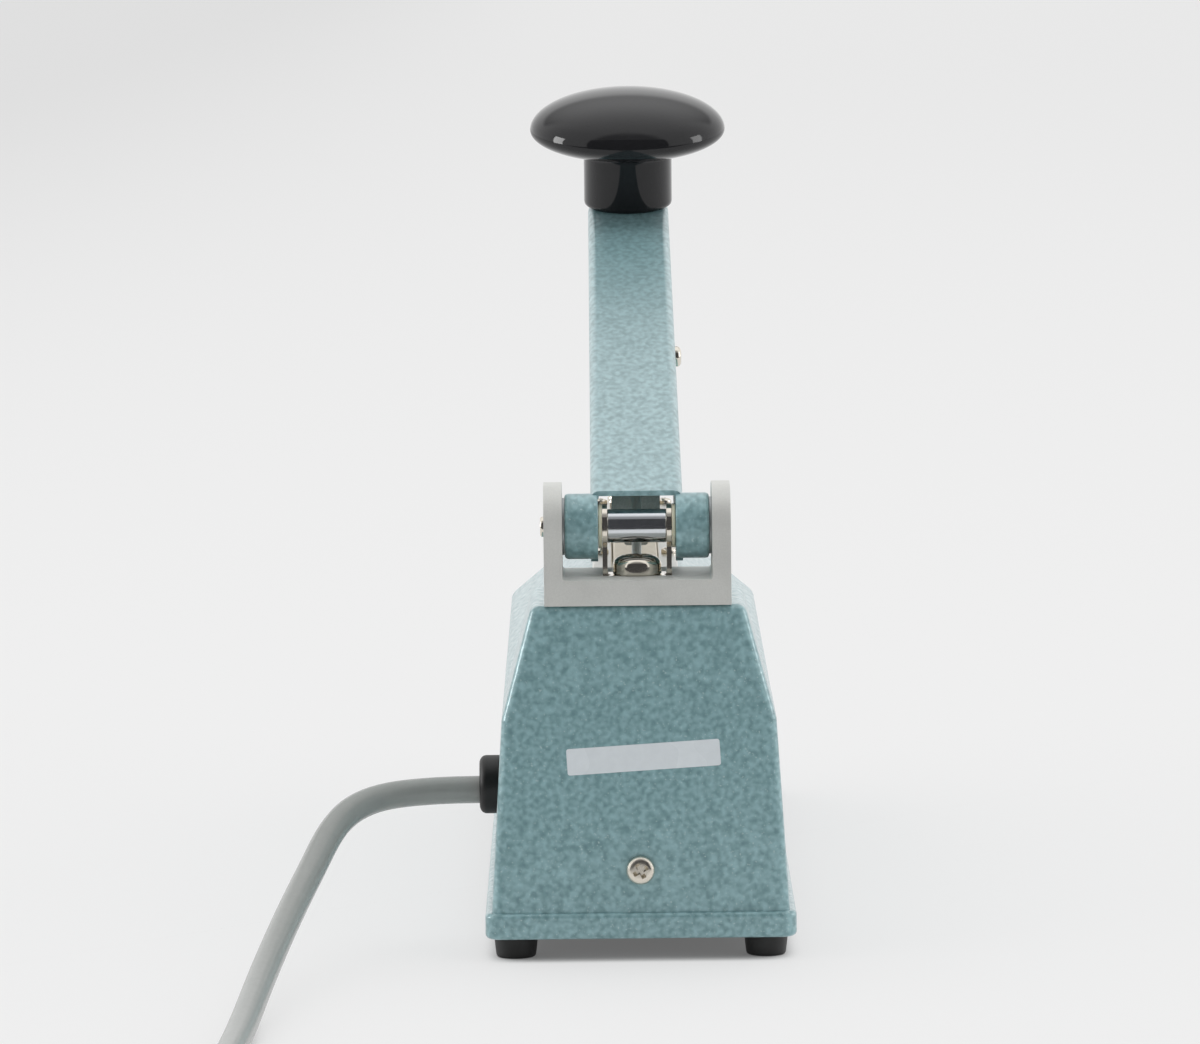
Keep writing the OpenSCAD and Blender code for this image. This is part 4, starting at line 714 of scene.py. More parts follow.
class SEALER_OT_stage(bpy.types.Operator):
    """Camera at the photograph's place, pale floor and soft studio light"""

    bl_idname = "sealer.stage"
    bl_label = "Stage"

    # The camera as fitted to the photograph: lens in millimetres, place in metres, yaw, pitch and roll in degrees
    camera_lens, camera_place, camera_turns = 224.28, (0.0098, 1.9607, 0.3062), (0.026, 6.291, -0.611)
    # Light of the room by direction, and of the windows
    wall_light, back_light, front_light = (1.0, 1.0, 1.0, 1), (0.5, 0.5, 0.5, 1), (0.32, 0.32, 0.325, 1)
    overhead_light, overhead_mirrored = (1.8, 1.8, 1.8, 1), (1.1, 1.1, 1.1, 1)
    windows = {(1.5, -0.1, 0.5): 8, (-1.5, -0.1, 0.5): 4}
    window_width, window_height, window_aim = 0.4, 0.8, (0, 0, 0.1)

    def execute(self, context):
        scene = context.scene
        scene.view_settings.view_transform = "Standard"
        build_finishes()
        self.camera(context)
        floor = self.card("floor", "floor", Matrix.Diagonal((80, 80, 1, 1)))
        table = self.card("dark_table", "flag", Matrix.Translation((0, 3.5, 0.002)) @ Matrix.Diagonal((6, 6, 1, 1)))
        upright = Matrix.Rotation(QUARTER_TURN, 4, "X") @ Matrix.Diagonal((7, 4, 1, 1))
        wall = self.card("dark_wall", "flag", Matrix.Translation((0, 3, 2)) @ upright)
        for flag in (table, wall):
            flag.visible_camera = flag.visible_diffuse = flag.visible_shadow = flag.visible_transmission = False
        self.sky(scene)
        for place, power in self.windows.items():
            self.window(place, power)
        return {"FINISHED"}

    def window(self, place, power):
        """A tall window at one side, for the bright lines along the edges and nothing else."""
        only()
        bpy.ops.object.light_add(type="AREA", location=place)
        lamp = name_new("window")
        lamp.rotation_euler = (Vector(self.window_aim) - Vector(place)).to_track_quat("-Z", "Y").to_euler()
        lamp.data.shape = "RECTANGLE"
        lamp.data.size, lamp.data.size_y = self.window_width, self.window_height
        lamp.data.energy = power
        lamp.visible_diffuse = False

    def card(self, name, finish, place):
        """A flat card of the stage."""
        only()
        bpy.ops.mesh.primitive_plane_add(size=1)
        card = name_new(name)
        card.data.transform(place)
        card.data.materials.append(FINISHES[finish])
        return card

    def sky(self, scene):
        """A soft light overhead, pale walls, and a dimmer room above the rear wall and behind the camera."""
        scene.world = bpy.data.worlds.new("studio")
        scene.world.use_nodes = True
        tree = scene.world.node_tree
        way = node(tree, "SeparateXYZ", Vector=node(tree, "TexCoord").outputs["Generated"]).outputs
        aside = calc(tree, "MULTIPLY", calc(tree, "ABSOLUTE", way["X"]), 0.75)
        front = shares(tree, calc(tree, "SUBTRACT", way["Y"], aside), 0.0, 0.24)
        back = shares(tree, calc(tree, "ADD", way["Y"], aside), 0.0, -0.24)
        backdrop = mixed(tree, shares(tree, way["Z"], 0.45, 0.55), self.wall_light, self.back_light)
        walls = mixed(tree, back, self.wall_light, backdrop)
        room = mixed(tree, front, walls, self.front_light)
        above = calc(tree, "SUBTRACT", way["Z"], calc(tree, "MULTIPLY", way["Y"], 0.35))
        mirrored = node(tree, "LightPath").outputs["Is Glossy Ray"]
        overhead = mixed(tree, mirrored, self.overhead_light, self.overhead_mirrored)
        light = mixed(tree, shares(tree, above, 0.75, 1.02), room, overhead)
        tree.links.new(light, tree.nodes["Background"].inputs["Color"])

    def camera(self, context):
        only()
        bpy.ops.object.camera_add()
        camera = name_new("camera")
        camera.data.lens = self.camera_lens
        camera.data.sensor_width = 36
        camera.data.sensor_fit = "HORIZONTAL"
        camera.data.clip_start, camera.data.clip_end = 0.05, 200
        yaw, pitch, roll = (math.radians(t) for t in self.camera_turns)
        ahead = Vector((-math.sin(yaw) * math.cos(pitch), -math.cos(yaw) * math.cos(pitch), -math.sin(pitch)))
        right = ahead.cross(Vector((0, 0, 1))).normalized()
        up = right.cross(ahead)
        across = math.cos(roll) * right + math.sin(roll) * up
        upwards = math.cos(roll) * up - math.sin(roll) * right
        axes = Matrix((across, upwards, -ahead)).transposed()
        camera.matrix_world = Matrix.Translation(self.camera_place) @ axes.to_4x4()
        context.scene.camera = camera


class SEALER_OT_cord(bpy.types.Operator):
    """Mains cord, its tied coil, plug and grommet"""

    bl_idname = "sealer.cord"
    bl_label = "Mains cord"

    # Steps out from the grommet, back along the table and height of the cord's middle, in millimetres
    route = [
        (0, 0, 38.7), (7, 0, 38.7), (14, 0.5, 38.4), (21, 2.5, 38.2), (28, 6.5, 37.1), (33.6, 12.5, 34.5),
        (37.2, 20.5, 30.2), (39.6, 29, 25.7), (42, 38, 21.9), (44.9, 54, 17.5), (47.8, 75, 12.8), (50.6, 102, 8.2),
        (52.4, 133, 5), (53.8, 155, 3.7), (55, 178, 3.6), (56, 200, 3.7), (56.7, 225, 4), (57, 250, 4.4),
        (57, 268, 4.5), (57, 278, 4.5),
    ]
    # The coil: radius, step inwards by turn, rise of its upper layer and straight end, in millimetres
    coil_radius, coil_step, coil_rise, exit_run = 46.5, 7.4, 7.3, 22
    # All that is wound, the part of it that climbs a layer, and from knot to knot, in degrees
    coil_turn, coil_climb, coil_knots = 1890, 180, 9

    def coil_point(self, turned):
        """Point of the coil by the angle wound so far: in along the table, up a layer, and out again."""
        radius = self.coil_radius - self.coil_step * min(turned, self.coil_turn - turned) / 360
        share = min(max((turned - (self.coil_turn - self.coil_climb) / 2) / self.coil_climb, 0), 1)
        rise = self.coil_rise * share * share * (3 - 2 * share)
        a = math.radians(turned)
        return self.centre + Vector((radius * math.cos(a), radius * math.sin(a), rise))

    def execute(self, context):
        thick = sizes().cord_diameter
        low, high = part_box("cord_grommet")
        face = Vector((high.x, (low.y + high.y) / 2, 0)) / MM
        route = [face + Vector(p) for p in self.route]
        self.centre = route[-1] + Vector((-self.coil_radius, thick / MM, 0))
        coil = [self.coil_point(turned) for turned in range(0, self.coil_turn + 1, self.coil_knots)]
        end = coil[-1] - Vector((self.exit_run, 0, 0))
        points = [p * MM for p in [*route, *coil, end]]
        only()
        bpy.ops.curve.primitive_nurbs_path_add()
        cord = name_new("mains_cord")
        curve = cord.data
        run = curve.splines[0]
        run.points.add(len(points) - len(run.points))
        for knot, point in zip(run.points, points):
            knot.co = (*point, 1)
        curve.dimensions = "3D"
        curve.resolution_u, curve.bevel_resolution = 4, 6
        curve.bevel_depth = thick / 2
        curve.use_fill_caps = True
        curve.materials.append(FINISHES["cord"])
        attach(cord, "base")
        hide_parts("power_cord", "cord_coil")
        plug, blades = self.plug(end * MM)
        tie = self.tie()
        self.grommet(low, high, face * MM)
        return {"FINISHED"}

    def plug(self, end):
        """Round plug with a ribbed strain relief, and its two blades."""
        place = Matrix.Translation(end) @ Matrix.Rotation(-QUARTER_TURN, 4, "Y")
        profile = [(3.5, 0, 0), (4.7, 0, 0.4)]
        for k in range(4):
            z, r = 2.2 + 3.6 * k, 4.9 + 0.42 * k
            profile += [(r, z, 0.3), (r - 0.8, z + 0.3, 0.2), (r - 0.7, z + 1.4, 0.2), (r + 0.2, z + 1.7, 0.3)]
        profile += [
            (6.5, 15.8, 0.3), (9.4, 16.2, 1.2), (10.2, 21, 3), (11.75, 29, 4), (11.75, 48.4, 1.4), (10.2, 50, 0.6),
            (7, 49.6, 0.3), (0, 49.6, 0),
        ]
        body = lathe("plug_body", scaled(soften(profile)), 56, place)
        grips = [
            block_mm("grip", (s * 9.7, -8, 32 + 4 * k), (s * 13, 8, 33.6 + 4 * k), place)
            for s in (-1, 1) for k in range(4)
        ]
        for grip in grips:
            combine(body, grip)
        hand_over(body, "black_plastic", "base", "plug", slot="black_plastic")
        blade = block_mm("blade", (-3.2, -0.75, 48), (3.2, 0.75, 67))
        begin_edit(blade)
        pick(blade, "EDGE", lambda e, m: m.z > 66 * MM and abs(m.x) > 3 * MM)
        bpy.ops.mesh.bevel(offset=1.6 * MM, segments=3, affect="EDGES")
        end_edit()
        through = Matrix.Translation((0, 0, 61.5 * MM)) @ Matrix.Rotation(QUARTER_TURN, 4, "X")
        combine(blade, rod("hole", 1.6, -3, 3, 24, through))
        round_edges(blade, 0.2 * MM, 2, least=50)
        blades = copies("plug_pins", blade, [place @ Matrix.Translation((0, s * 6.35 * MM, 0)) for s in (-1, 1)])
        hand_over(blades, "nickel", "base", "plug_blades", slot="nickel")
        return body, blades

    def tie(self):
        """Flat band round the coil's turns, closed with a twist lock."""
        low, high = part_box("cord_tie")
        band = 0.8 * MM

        def ring(name, inset, front, back):
            corner = 3.3 * MM - inset
            right, left = high.x - inset - corner, low.x + inset + corner
            top, bottom = high.z - inset - corner, low.z + inset + corner
            outline = arc((right, top), corner, 0, 90, 5) + arc((left, top), corner, 90, 180, 5)
            outline += arc((left, bottom), corner, 180, 270, 5) + arc((right, bottom), corner, 270, 360, 5)
            return prism(name, [(x, front, z) for x, z in outline], (0, back - front, 0))

        tie = combine(ring("coil_band", 0, low.y, high.y), ring("inside", band, low.y - band, high.y + band))
        middle = (low.x + high.x) / 2
        lock = block("lock", (middle - 4 * MM, low.y, high.z - band), (middle + 4 * MM, high.y, high.z))
        combine(tie, lock, "UNION")
        round_edges(tie, 0.25 * MM, 2, least=50)
        return hand_over(tie, "black_plastic", "base", "cord_tie", slot="black_plastic")

    def grommet(self, low, high, face):
        """Rubber grommet with a rounded collar; the cord passes a little below its middle."""
        run, bore = (high.x - low.x) / MM, sizes().cord_diameter / 2 / MM + 0.05
        start, wide = run - 5.1, (high.z - low.z) / 2 / MM
        profile = [
            (0, 0, 0), (6.3, 0, 0.3), (6.3, 1.5, 0.3), (5.5, 1.5, 0), (5.5, start, 0), (wide, start, 0.4),
            (wide, run - 0.5, 1.6), (5.6, run, 0.8), (0, run, 0),
        ]
        middle = Vector((low.x, face.y, (low.z + high.z) / 2))
        grommet = lathe("rubber_grommet", scaled(soften(profile)), 64, Matrix.Translation(middle) @ ALONG_X)
        cord_low, cord_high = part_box("cord_tail")
        passage = Vector((low.x, face.y, (cord_low.z + cord_high.z) / 2))
        combine(grommet, rod("passage", bore, -4, run + 4, 48, Matrix.Translation(passage) @ ALONG_X))
        round_edges(grommet, 0.25 * MM, 2, lambda edge, at: at.x > high.x - 0.3 * MM, least=50)
        hand_over(grommet, "black_rubber", "base", "cord_grommet", slot="black_rubber")


class SEALER_OT_casting(bpy.types.Operator):
    """Painted casting with its rim, pedestal and sloped land"""

    bl_idname = "sealer.casting"
    bl_label = "Casting"

    def form(self, name, foot, down):
        """Long body and pedestal as one closed form, its faces moved in by a wall's thickness."""
        s = sizes()
        slope = (s.foot_width - s.shoulder_width) / 2 / (s.shoulder_height - s.rim_top)
        side = s.foot_width / 2 - (foot - s.rim_top) * slope
        levels = {"foot": foot, "shoulder": s.shoulder_height - down * 0.4, "land": s.land_height - down,
                  "pedestal": s.pedestal_height - down}
        half = {"foot": side - down, "shoulder": s.shoulder_width / 2 - down, "land": s.land_width / 2 - down * 0.4,
                "pedestal": s.pedestal_width / 2 - down * 1.1}

        def rear(z):
            return rear_wall(z) - down

        def front(z):
            return panel(z) + down / math.cos(s.panel_lean)

        step_rear = rear_wall(s.pedestal_height) - s.pedestal_length

        def step(z):
            return step_rear - (s.pedestal_height - z) * math.tan(s.step_lean) + down / math.cos(s.step_lean)

        def corner(co, level):
            z = levels[level]
            return Vector((math.copysign(half[level], co.x), rear(z) if co.y > 0 else front(z), z))

        only()
        bpy.ops.mesh.primitive_cube_add(size=1)
        piece = name_new(name)
        begin_edit(piece)
        move_picked(piece, lambda co: corner(co, "foot" if co.z < 0 else "shoulder"))
        top = levels["shoulder"] - 1e-6
        pick(piece, "FACE", lambda face, middle: middle.z > top)
        draw_out((0, 0, levels["land"] - levels["shoulder"]))
        move_picked(piece, lambda co: corner(co, "land"))
        pick(piece, "FACE", lambda face, middle: middle.z > top)
        bpy.ops.mesh.bisect(
            plane_co=(0, step(s.pedestal_height), s.pedestal_height), plane_no=(0, 1, -math.tan(s.step_lean))
        )
        pick(piece, "FACE", lambda face, middle: middle.z > top and face.normal.z > 0.3 and middle.y > step(middle.z))
        draw_out((0, 0, levels["pedestal"] - levels["land"]))
        edge = (half["land"] + half["shoulder"]) / 2
        middle_y = (step(s.land_height) + rear(s.land_height)) / 2
        z = levels["pedestal"]
        move_picked(piece, lambda co: Vector((
            math.copysign(half["pedestal"] if abs(co.x) > edge else half["land"], co.x),
            rear(z) if co.y > middle_y else step(z), z,
        )))
        close_up()
        bpy.ops.mesh.dissolve_limited(angle_limit=math.radians(0.5))
        end_edit()
        return piece

    def execute(self, context):
        s = sizes()
        low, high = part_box("housing")
        casting = self.form("painted_casting", low.z, 0)
        foot = low.z + 0.1 * MM
        round_edges(casting, s.casting_edge, 5, lambda edge, middle: edge.is_convex and middle.z > foot)
        round_edges(casting, s.casting_hollow, 3, lambda edge, middle: not edge.is_convex)
        rim = block("rim", low, (high.x, high.y, s.rim_top))
        begin_edit(rim)
        pick(rim, "EDGE", lambda edge, middle: abs(edge.verts[0].co.z - edge.verts[1].co.z) > MM)
        bpy.ops.mesh.bevel(offset=s.rim_corner, segments=7, affect="EDGES")
        end_edit()
        round_edges(rim, s.rim_edge, 4, least=50)
        combine(casting, rim, "UNION")
        combine(casting, self.form("hollow", low.z - MM, s.casting_wall))
        self.holes(casting)
        hand_over(casting, "paint", "base", "housing", slot="paint", smooth=32)
        return {"FINISHED"}

    def holes(self, casting):
        """Holes for the lift rod's bush, the dial, the lamp and the grommet."""
        bush_low, bush_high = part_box("guide_bush")
        grommet_low, grommet_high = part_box("cord_grommet")
        bush = (bush_low + bush_high) / 2
        cord = (grommet_low + grommet_high) / 2
        for radius, place in (
            (3.55, Matrix.Translation((bush.x, bush.y, sizes().pedestal_height))),
            (3.6, on_panel(*DIAL_SEAT)),
            (4.1, on_panel(*LAMP_SEAT)),
            (6.35, Matrix.Translation((sizes().shoulder_width / 2, cord.y, cord.z)) @ ALONG_X),
        ):
            combine(casting, rod("hole", radius, -8, 8, 32, place))


class SEALER_OT_label(bpy.types.Operator):
    """Bare label on the rear wall"""

    bl_idname = "sealer.label"
    bl_label = "Bare label"

    def execute(self, context):
        s = sizes()
        middle_x, middle_z = -1 * MM, 50 * MM
        place = on_rear_wall(middle_x, middle_z, s.label_turn)
        half, up, film = s.label_width / 2, s.label_height / 2, 0.12 * MM
        label = block("bare_label", (-half, -up, 0), (half, up, film))
        begin_edit(label)
        pick(label, "EDGE", lambda edge, middle: abs(edge.verts[0].co.z - edge.verts[1].co.z) > film / 2)
        bpy.ops.mesh.bevel(offset=0.6 * MM, segments=4, affect="EDGES")
        pick(label, "EDGE", lambda edge, middle: middle.z > film * 0.9)
        bpy.ops.mesh.bevel(offset=film * 0.4, segments=2, affect="EDGES")
        end_edit()
        set_in(label, place)
        hand_over(label, "label", "base")
        return {"FINISHED"}


class SEALER_OT_feet(bpy.types.Operator):
    """Four rubber feet with their screw wells"""

    bl_idname = "sealer.feet"
    bl_label = "Feet"

    def execute(self, context):
        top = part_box("rubber_feet")[1].z / MM
        well = [(3.2, 3, 0), (3.2, 0, 0.3)]
        outside = [(4.8, 0, 0.8), (5.15, 2.8, 0), (FOOT_RADIUS / MM, top, 0.35)]
        profile = [*well, *outside, (1.9, top, 0), (1.9, 3, 0), well[0]]
        foot = lathe("foot", scaled(soften(profile)), 48)
        feet = copies("moulded_feet", foot, [Matrix.Translation((x, y, 0)) for x, y in foot_middles()])
        hand_over(feet, "black_rubber", "base", "rubber_feet", slot="black_rubber")
        return {"FINISHED"}


class SEALER_OT_pivot(bpy.types.Operator):
    """Pivot bracket, yoke, axle, spacer tube and washers"""

    bl_idname = "sealer.pivot"
    bl_label = "Pivot"

    def execute(self, context):
        self.bracket()
        self.yoke()
        low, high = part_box("axle")
        a, b = low.x / MM, high.x / MM
        axle = lathe("turned_axle", scaled(soften([(0, a, 0), (2.5, a, 0.4), (2.5, b, 0.5), (0, b, 0)])), 40, AT_AXLE)
        hand_over(axle, "nickel", "base", "axle", slot="nickel")
        low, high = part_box("spacer_tube")
        half = high.x / MM
        outer = (high.z - low.z) / 2 / MM
        bore, thin = 2.55, 0.475
        profile = [(bore, -half, 0), (outer, -half, 0.25), (outer, half, 0.25), (bore, half, 0), (bore, -half, 0)]
        tube = lathe("bright_spacer", scaled(soften(profile)), 64, AT_AXLE)
        hand_over(tube, "chrome", "base", "spacer_tube", slot="nickel")
        profile = [(bore, -thin, 0.1), (5.4, -thin, 0.3), (5.4, thin, 0.3), (bore, thin, 0.1), (bore, -thin, 0)]
        washer = lathe("washer", scaled(soften(profile)), 48)
        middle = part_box("side_washers")[1].x - thin * MM
        washers = copies("nylon_washers", washer, [AT_AXLE @ Matrix.Translation((0, 0, s * middle)) for s in (-1, 1)])
        hand_over(washers, "nylon", "base", "side_washers", slot="nylon")
        return {"FINISHED"}

    def bracket(self):
        """Channel bracket with two round ears, and a shallow pocket for the yoke's foot."""
        s = sizes()
        low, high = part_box("pivot_bracket")
        r = s.ear_radius
        outline = [(low.y, low.z), (high.y, low.z)]
        outline += arc((high.y - r, AXLE.z), r, 0, 90, 12) + arc((low.y + r, AXLE.z), r, 90, 180, 12)
        bracket = prism("blasted_bracket", [(low.x, y, z) for y, z in outline], (high.x - low.x, 0, 0))
        floor = low.z + s.bracket_floor
        inner_low = (low.x + s.bracket_wall, low.y - MM, floor)
        inner_high = (high.x - s.bracket_wall, high.y + MM, high.z + MM)
        channel = block("channel", inner_low, inner_high)
        round_edges(channel, 0.6 * MM, 3, lambda edge, m: m.z < floor + MM and abs(m.y - AXLE.y) < MM)
        combine(bracket, channel)
        round_edges(bracket, 0.9 * MM, 4, lambda edge, m: abs(m.z - floor) < 0.05 * MM and abs(m.x) < MM, least=60)
        round_edges(bracket, s.bracket_edge, 3, least=40)
        wide, deep = 8.5 * MM, 4.3 * MM
        pocket = block("pocket", (-wide, AXLE.y - deep, floor - 1.2 * MM), (wide, AXLE.y + deep, floor + MM))
        combine(bracket, pocket)
        combine(bracket, rod("axle_hole", 2.52, -30, 30, 40, AT_AXLE))
        hand_over(bracket, "aluminium", "base", "pivot_bracket", slot="aluminium")

    def yoke(self):
        """Bent strip with its foot in the bracket and two round eyes on the axle."""
        low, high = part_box("pivot_yoke")
        sheet, foot, leg, eye = 1.2 * MM, 4.25 * MM, 2.1 * MM, 5.4 * MM
        y, z, top = AXLE.y, AXLE.z, low.z + sheet
        joint = math.degrees(math.acos(leg / eye))
        outline = [(y - leg, top), (y - foot, top), (y - foot, low.z)]
        outline += [(y + foot, low.z), (y + foot, top), (y + leg, top)]
        outline += arc((y, z), eye, -joint, 180 + joint, 36)
        yoke = prism("bright_yoke", [(low.x, a, b) for a, b in outline], (high.x - low.x, 0, 0))
        past = 9 * MM
        inside = block("inside", (low.x + sheet, y - past, low.z + sheet), (high.x - sheet, y + past, high.z + MM))
        round_edges(inside, 0.8 * MM, 4, lambda edge, middle: middle.z < low.z + 2 * sheet and abs(middle.y - y) < MM)
        combine(yoke, inside)
        round_edges(yoke, MM, 4, lambda edge, middle: middle.z < low.z + 0.01 * MM and abs(middle.x) > 8 * MM)
        round_edges(yoke, 0.15 * MM, 2, least=50)
        combine(yoke, rod("eye", 2.55, -30, 30, 40, AT_AXLE))
        hand_over(yoke, "nickel", "base", "pivot_yoke", slot="nickel")


class SEALER_OT_screws(bpy.types.Operator):
    """Pan-head screws with a cross recess"""

    bl_idname = "sealer.screws"
    bl_label = "Screws"

    def screw(self, name, width, height, shank, depth):
        """Head and shank of one screw, its seat at the origin and its head up."""
        r = width / 2
        dome = [(r * (0.5 + 0.5 * math.cos(t)), height * (0.45 + 0.55 * math.sin(t))) for t in
                (math.radians(a) for a in range(0, 91, 10))]
        core = shank / 2
        profile = [(0, -depth), (core - 0.3, -depth), (core, -depth + 0.3), (core, 0)]
        profile += [(r * 0.96, 0), (r, 0.05 * height)]
        screw = lathe(name, scaled(profile + dome + [(0, height)]), 40)
        slot_half, slot_wide = 0.32 * width, 0.085 * width
        for turn in (0, QUARTER_TURN):
            slot = block_mm("slot", (-slot_half, -slot_wide, 0.42 * height), (slot_half, slot_wide, 1.2 * height))
            begin_edit(slot)
            pick(slot, "VERT", lambda vertex, co: co.z < 0.6 * height * MM)
            move_picked(slot, lambda co: Vector((co.x * 0.5, co.y * 0.8, co.z)))
            end_edit()
            combine(screw, set_in(slot, Matrix.Rotation(turn, 4, "Z")))
        return screw

    def execute(self, context):
        s = sizes()
        over = Matrix.Rotation(math.pi, 4, "X")
        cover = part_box("cover_screw")
        cover_z = (cover[0].z + cover[1].z) / 2
        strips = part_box("strip_screws")
        seat = strips[1].z - 1.5 * MM
        bracket_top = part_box("bracket_screw")[1].z - 4.6 * MM
        ends = [strips[0].y + 2 * MM + i * (strips[1].y - strips[0].y - 4 * MM) / 3 for i in range(4)]
        # The solids that a piece stands for; width and height of its head, width and depth of its shank, in
        # millimetres; its body; its places, in which the screws' slots stand turned as they were driven
        rows = {
            "cover_screw_head": ("cover_screw", (7, 2.6, 4, 7), "base",
                                 [on_rear_wall(0, cover_z) @ Matrix.Rotation(0.5, 4, "Z")]),
            "bracket_bolt": ("bracket_screw", (12, 4.6, 6, 14), "base",
                             [Matrix.Translation((0, AXLE.y, bracket_top)) @ Matrix.Rotation(0.3, 4, "Z")]),
            "strip_screw_heads": ("strip_screws", (4, 1.5, 2.6, 1.6), "base",
                                  [Matrix.Translation((x, y, seat)) @ Matrix.Rotation(y * 400, 4, "Z")
                                   for x in (strips[0].x + 2 * MM, strips[1].x - 2 * MM) for y in ends]),
            "foot_screw_heads": ("foot_screws", (5.5, 2, 3, 4), "base",
                                 [Matrix.Translation((x, y, 3 * MM)) @ over for x, y in foot_middles()]),
            "presser_screw_head": ("presser_screw", (5.5, 2, 3, 22), "arm",
                                   [ON_ARM @ Matrix.Translation((-s.arm_width / 2, -175 * MM, -4.6 * MM))
                                    @ Matrix.Rotation(-QUARTER_TURN, 4, "Y")]),
            "knob_bolt": ("knob_screw", (12, 4.6, 6, 18), "arm",
                          [ON_ARM @ Matrix.Translation((0, -s.arm_length, s.arm_top - 7 * MM)) @ over]),
        }
        for name, (replaced, measures, body, places) in rows.items():
            made = copies(name, self.screw(name + "_model", *measures), places)
            finish = "dull_nickel" if replaced == "cover_screw" else "nickel"
            hand_over(made, finish, body, replaced, slot="nickel", smooth=30)
        return {"FINISHED"}


class SEALER_OT_arm(bpy.types.Operator):
    """Painted arm with its pivot bosses, and the presser bar under it"""

    bl_idname = "sealer.arm"
    bl_label = "Arm and presser"

    # Heights of the presser bar's top, groove and feet, and places of the arm's ribs, in millimetres from the axle
    bar_top, bar_groove, bar_foot = -1.15, -9.65, -12.65
    ribs = (46.768, 222.768)

    def execute(self, context):
        s = sizes()
        half, tip = s.arm_width / 2, -s.arm_length - s.arm_width / 2
        arm = block("painted_arm", (-half, tip, -s.arm_skirt), (half, 0, s.arm_top))
        begin_edit(arm)
        pick(arm, "VERT", lambda vertex, co: co.z < 0 and co.y < -MM)
        move_picked(arm, lambda co: Vector((co.x, co.y, -s.arm_skirt_front)))
        pick(arm, "EDGE", lambda edge, m: m.y < tip + MM and abs(m.x) > half - MM and abs(m.z) < 5 * MM)
        bpy.ops.mesh.bevel(offset=half * 0.996, segments=14, affect="EDGES")
        pick(arm, "FACE", lambda face, m: abs(face.normal.z) < 0.1 and m.y > -MM)
        bpy.ops.mesh.delete(type="ONLY_FACE")
        pick(arm, "EDGE", lambda edge, m: min(v.co.z for v in edge.verts) > s.arm_top - 0.1 * MM and m.y < -MM)
        bpy.ops.mesh.bevel(offset=s.arm_edge, segments=5, affect="EDGES")
        pick(arm, "FACE", lambda face, m: face.normal.z < -0.7)
        bpy.ops.mesh.delete(type="ONLY_FACE")
        end_edit()
        apply_modifier(arm, "SOLIDIFY", thickness=s.arm_wall, offset=-1, use_even_offset=True)
        ceiling = s.arm_top - s.arm_wall
        begin_edit(arm)
        pick(arm, "VERT", lambda vertex, co: abs(co.z - ceiling) < 0.05 * MM)
        move_picked(arm, lambda co: Vector((co.x, co.y, s.arm_top - s.arm_roof)))
        end_edit()
        round_edges(arm, 0.35 * MM, 2, least=60)
        inner = half - s.arm_wall
        start, end, r = inner / MM, s.boss_reach / MM, s.boss_diameter / 2 / MM
        boss = [(0, start, 0), (r, start, 0.3), (r, end, 0.9), (0, end, 0)]
        for side in (-1, 1):
            turn = Matrix.Rotation(side * QUARTER_TURN, 4, "Y")
            combine(arm, lathe("boss", scaled(soften(boss)), 64, turn), "UNION")
        combine(arm, rod("bore", 2.55, -30, 30, 40, ALONG_X))
        wide, thin = inner + 0.2 * MM, 1.25 * MM
        for u in self.ribs:
            low, high = (-wide, -u * MM - thin, self.bar_top * MM), (wide, -u * MM + thin, s.arm_top - MM)
            combine(arm, block("rib", low, high), "UNION")
        combine(arm, rod("seat", 8, 1.9, 8, 40, Matrix.Translation((0, -s.arm_length, 0))), "UNION")
        set_in(arm, ON_ARM)
        hand_over(arm, "arm_paint", "arm", "arm", slot="paint", smooth=32)
        self.presser()
        return {"FINISHED"}

    def presser(self):
        """Grooved presser bar under the arm, and the rubber in its groove."""
        start, run = -34.768 * MM, (0, -200 * MM, 0)
        top, groove, foot = self.bar_top, self.bar_groove, self.bar_foot
        section = [(-6, foot), (-3, foot), (-3, groove), (3, groove), (3, foot), (6, foot), (6, top), (-6, top)]
        bar = prism("presser_rail", [(x * MM, start, v * MM) for x, v in section], run, ON_ARM)
        round_edges(bar, 0.3 * MM, 2, least=50)
        hand_over(bar, "presser", "arm", "presser_bar", slot="aluminium")
        crown = arc((-2.2, -14.85), 0.8, 180, 270, 4) + arc((2.2, -14.85), 0.8, 270, 360, 4)
        section = [(-3, groove)] + crown + [(3, groove)]
        pad = prism("presser_pad", [(x * MM, start - MM, v * MM) for x, v in section], (0, -198 * MM, 0), ON_ARM)
        round_edges(pad, 0.2 * MM, 2, least=50)
        hand_over(pad, "silicone", "arm", "presser_rubber", slot="silicone")


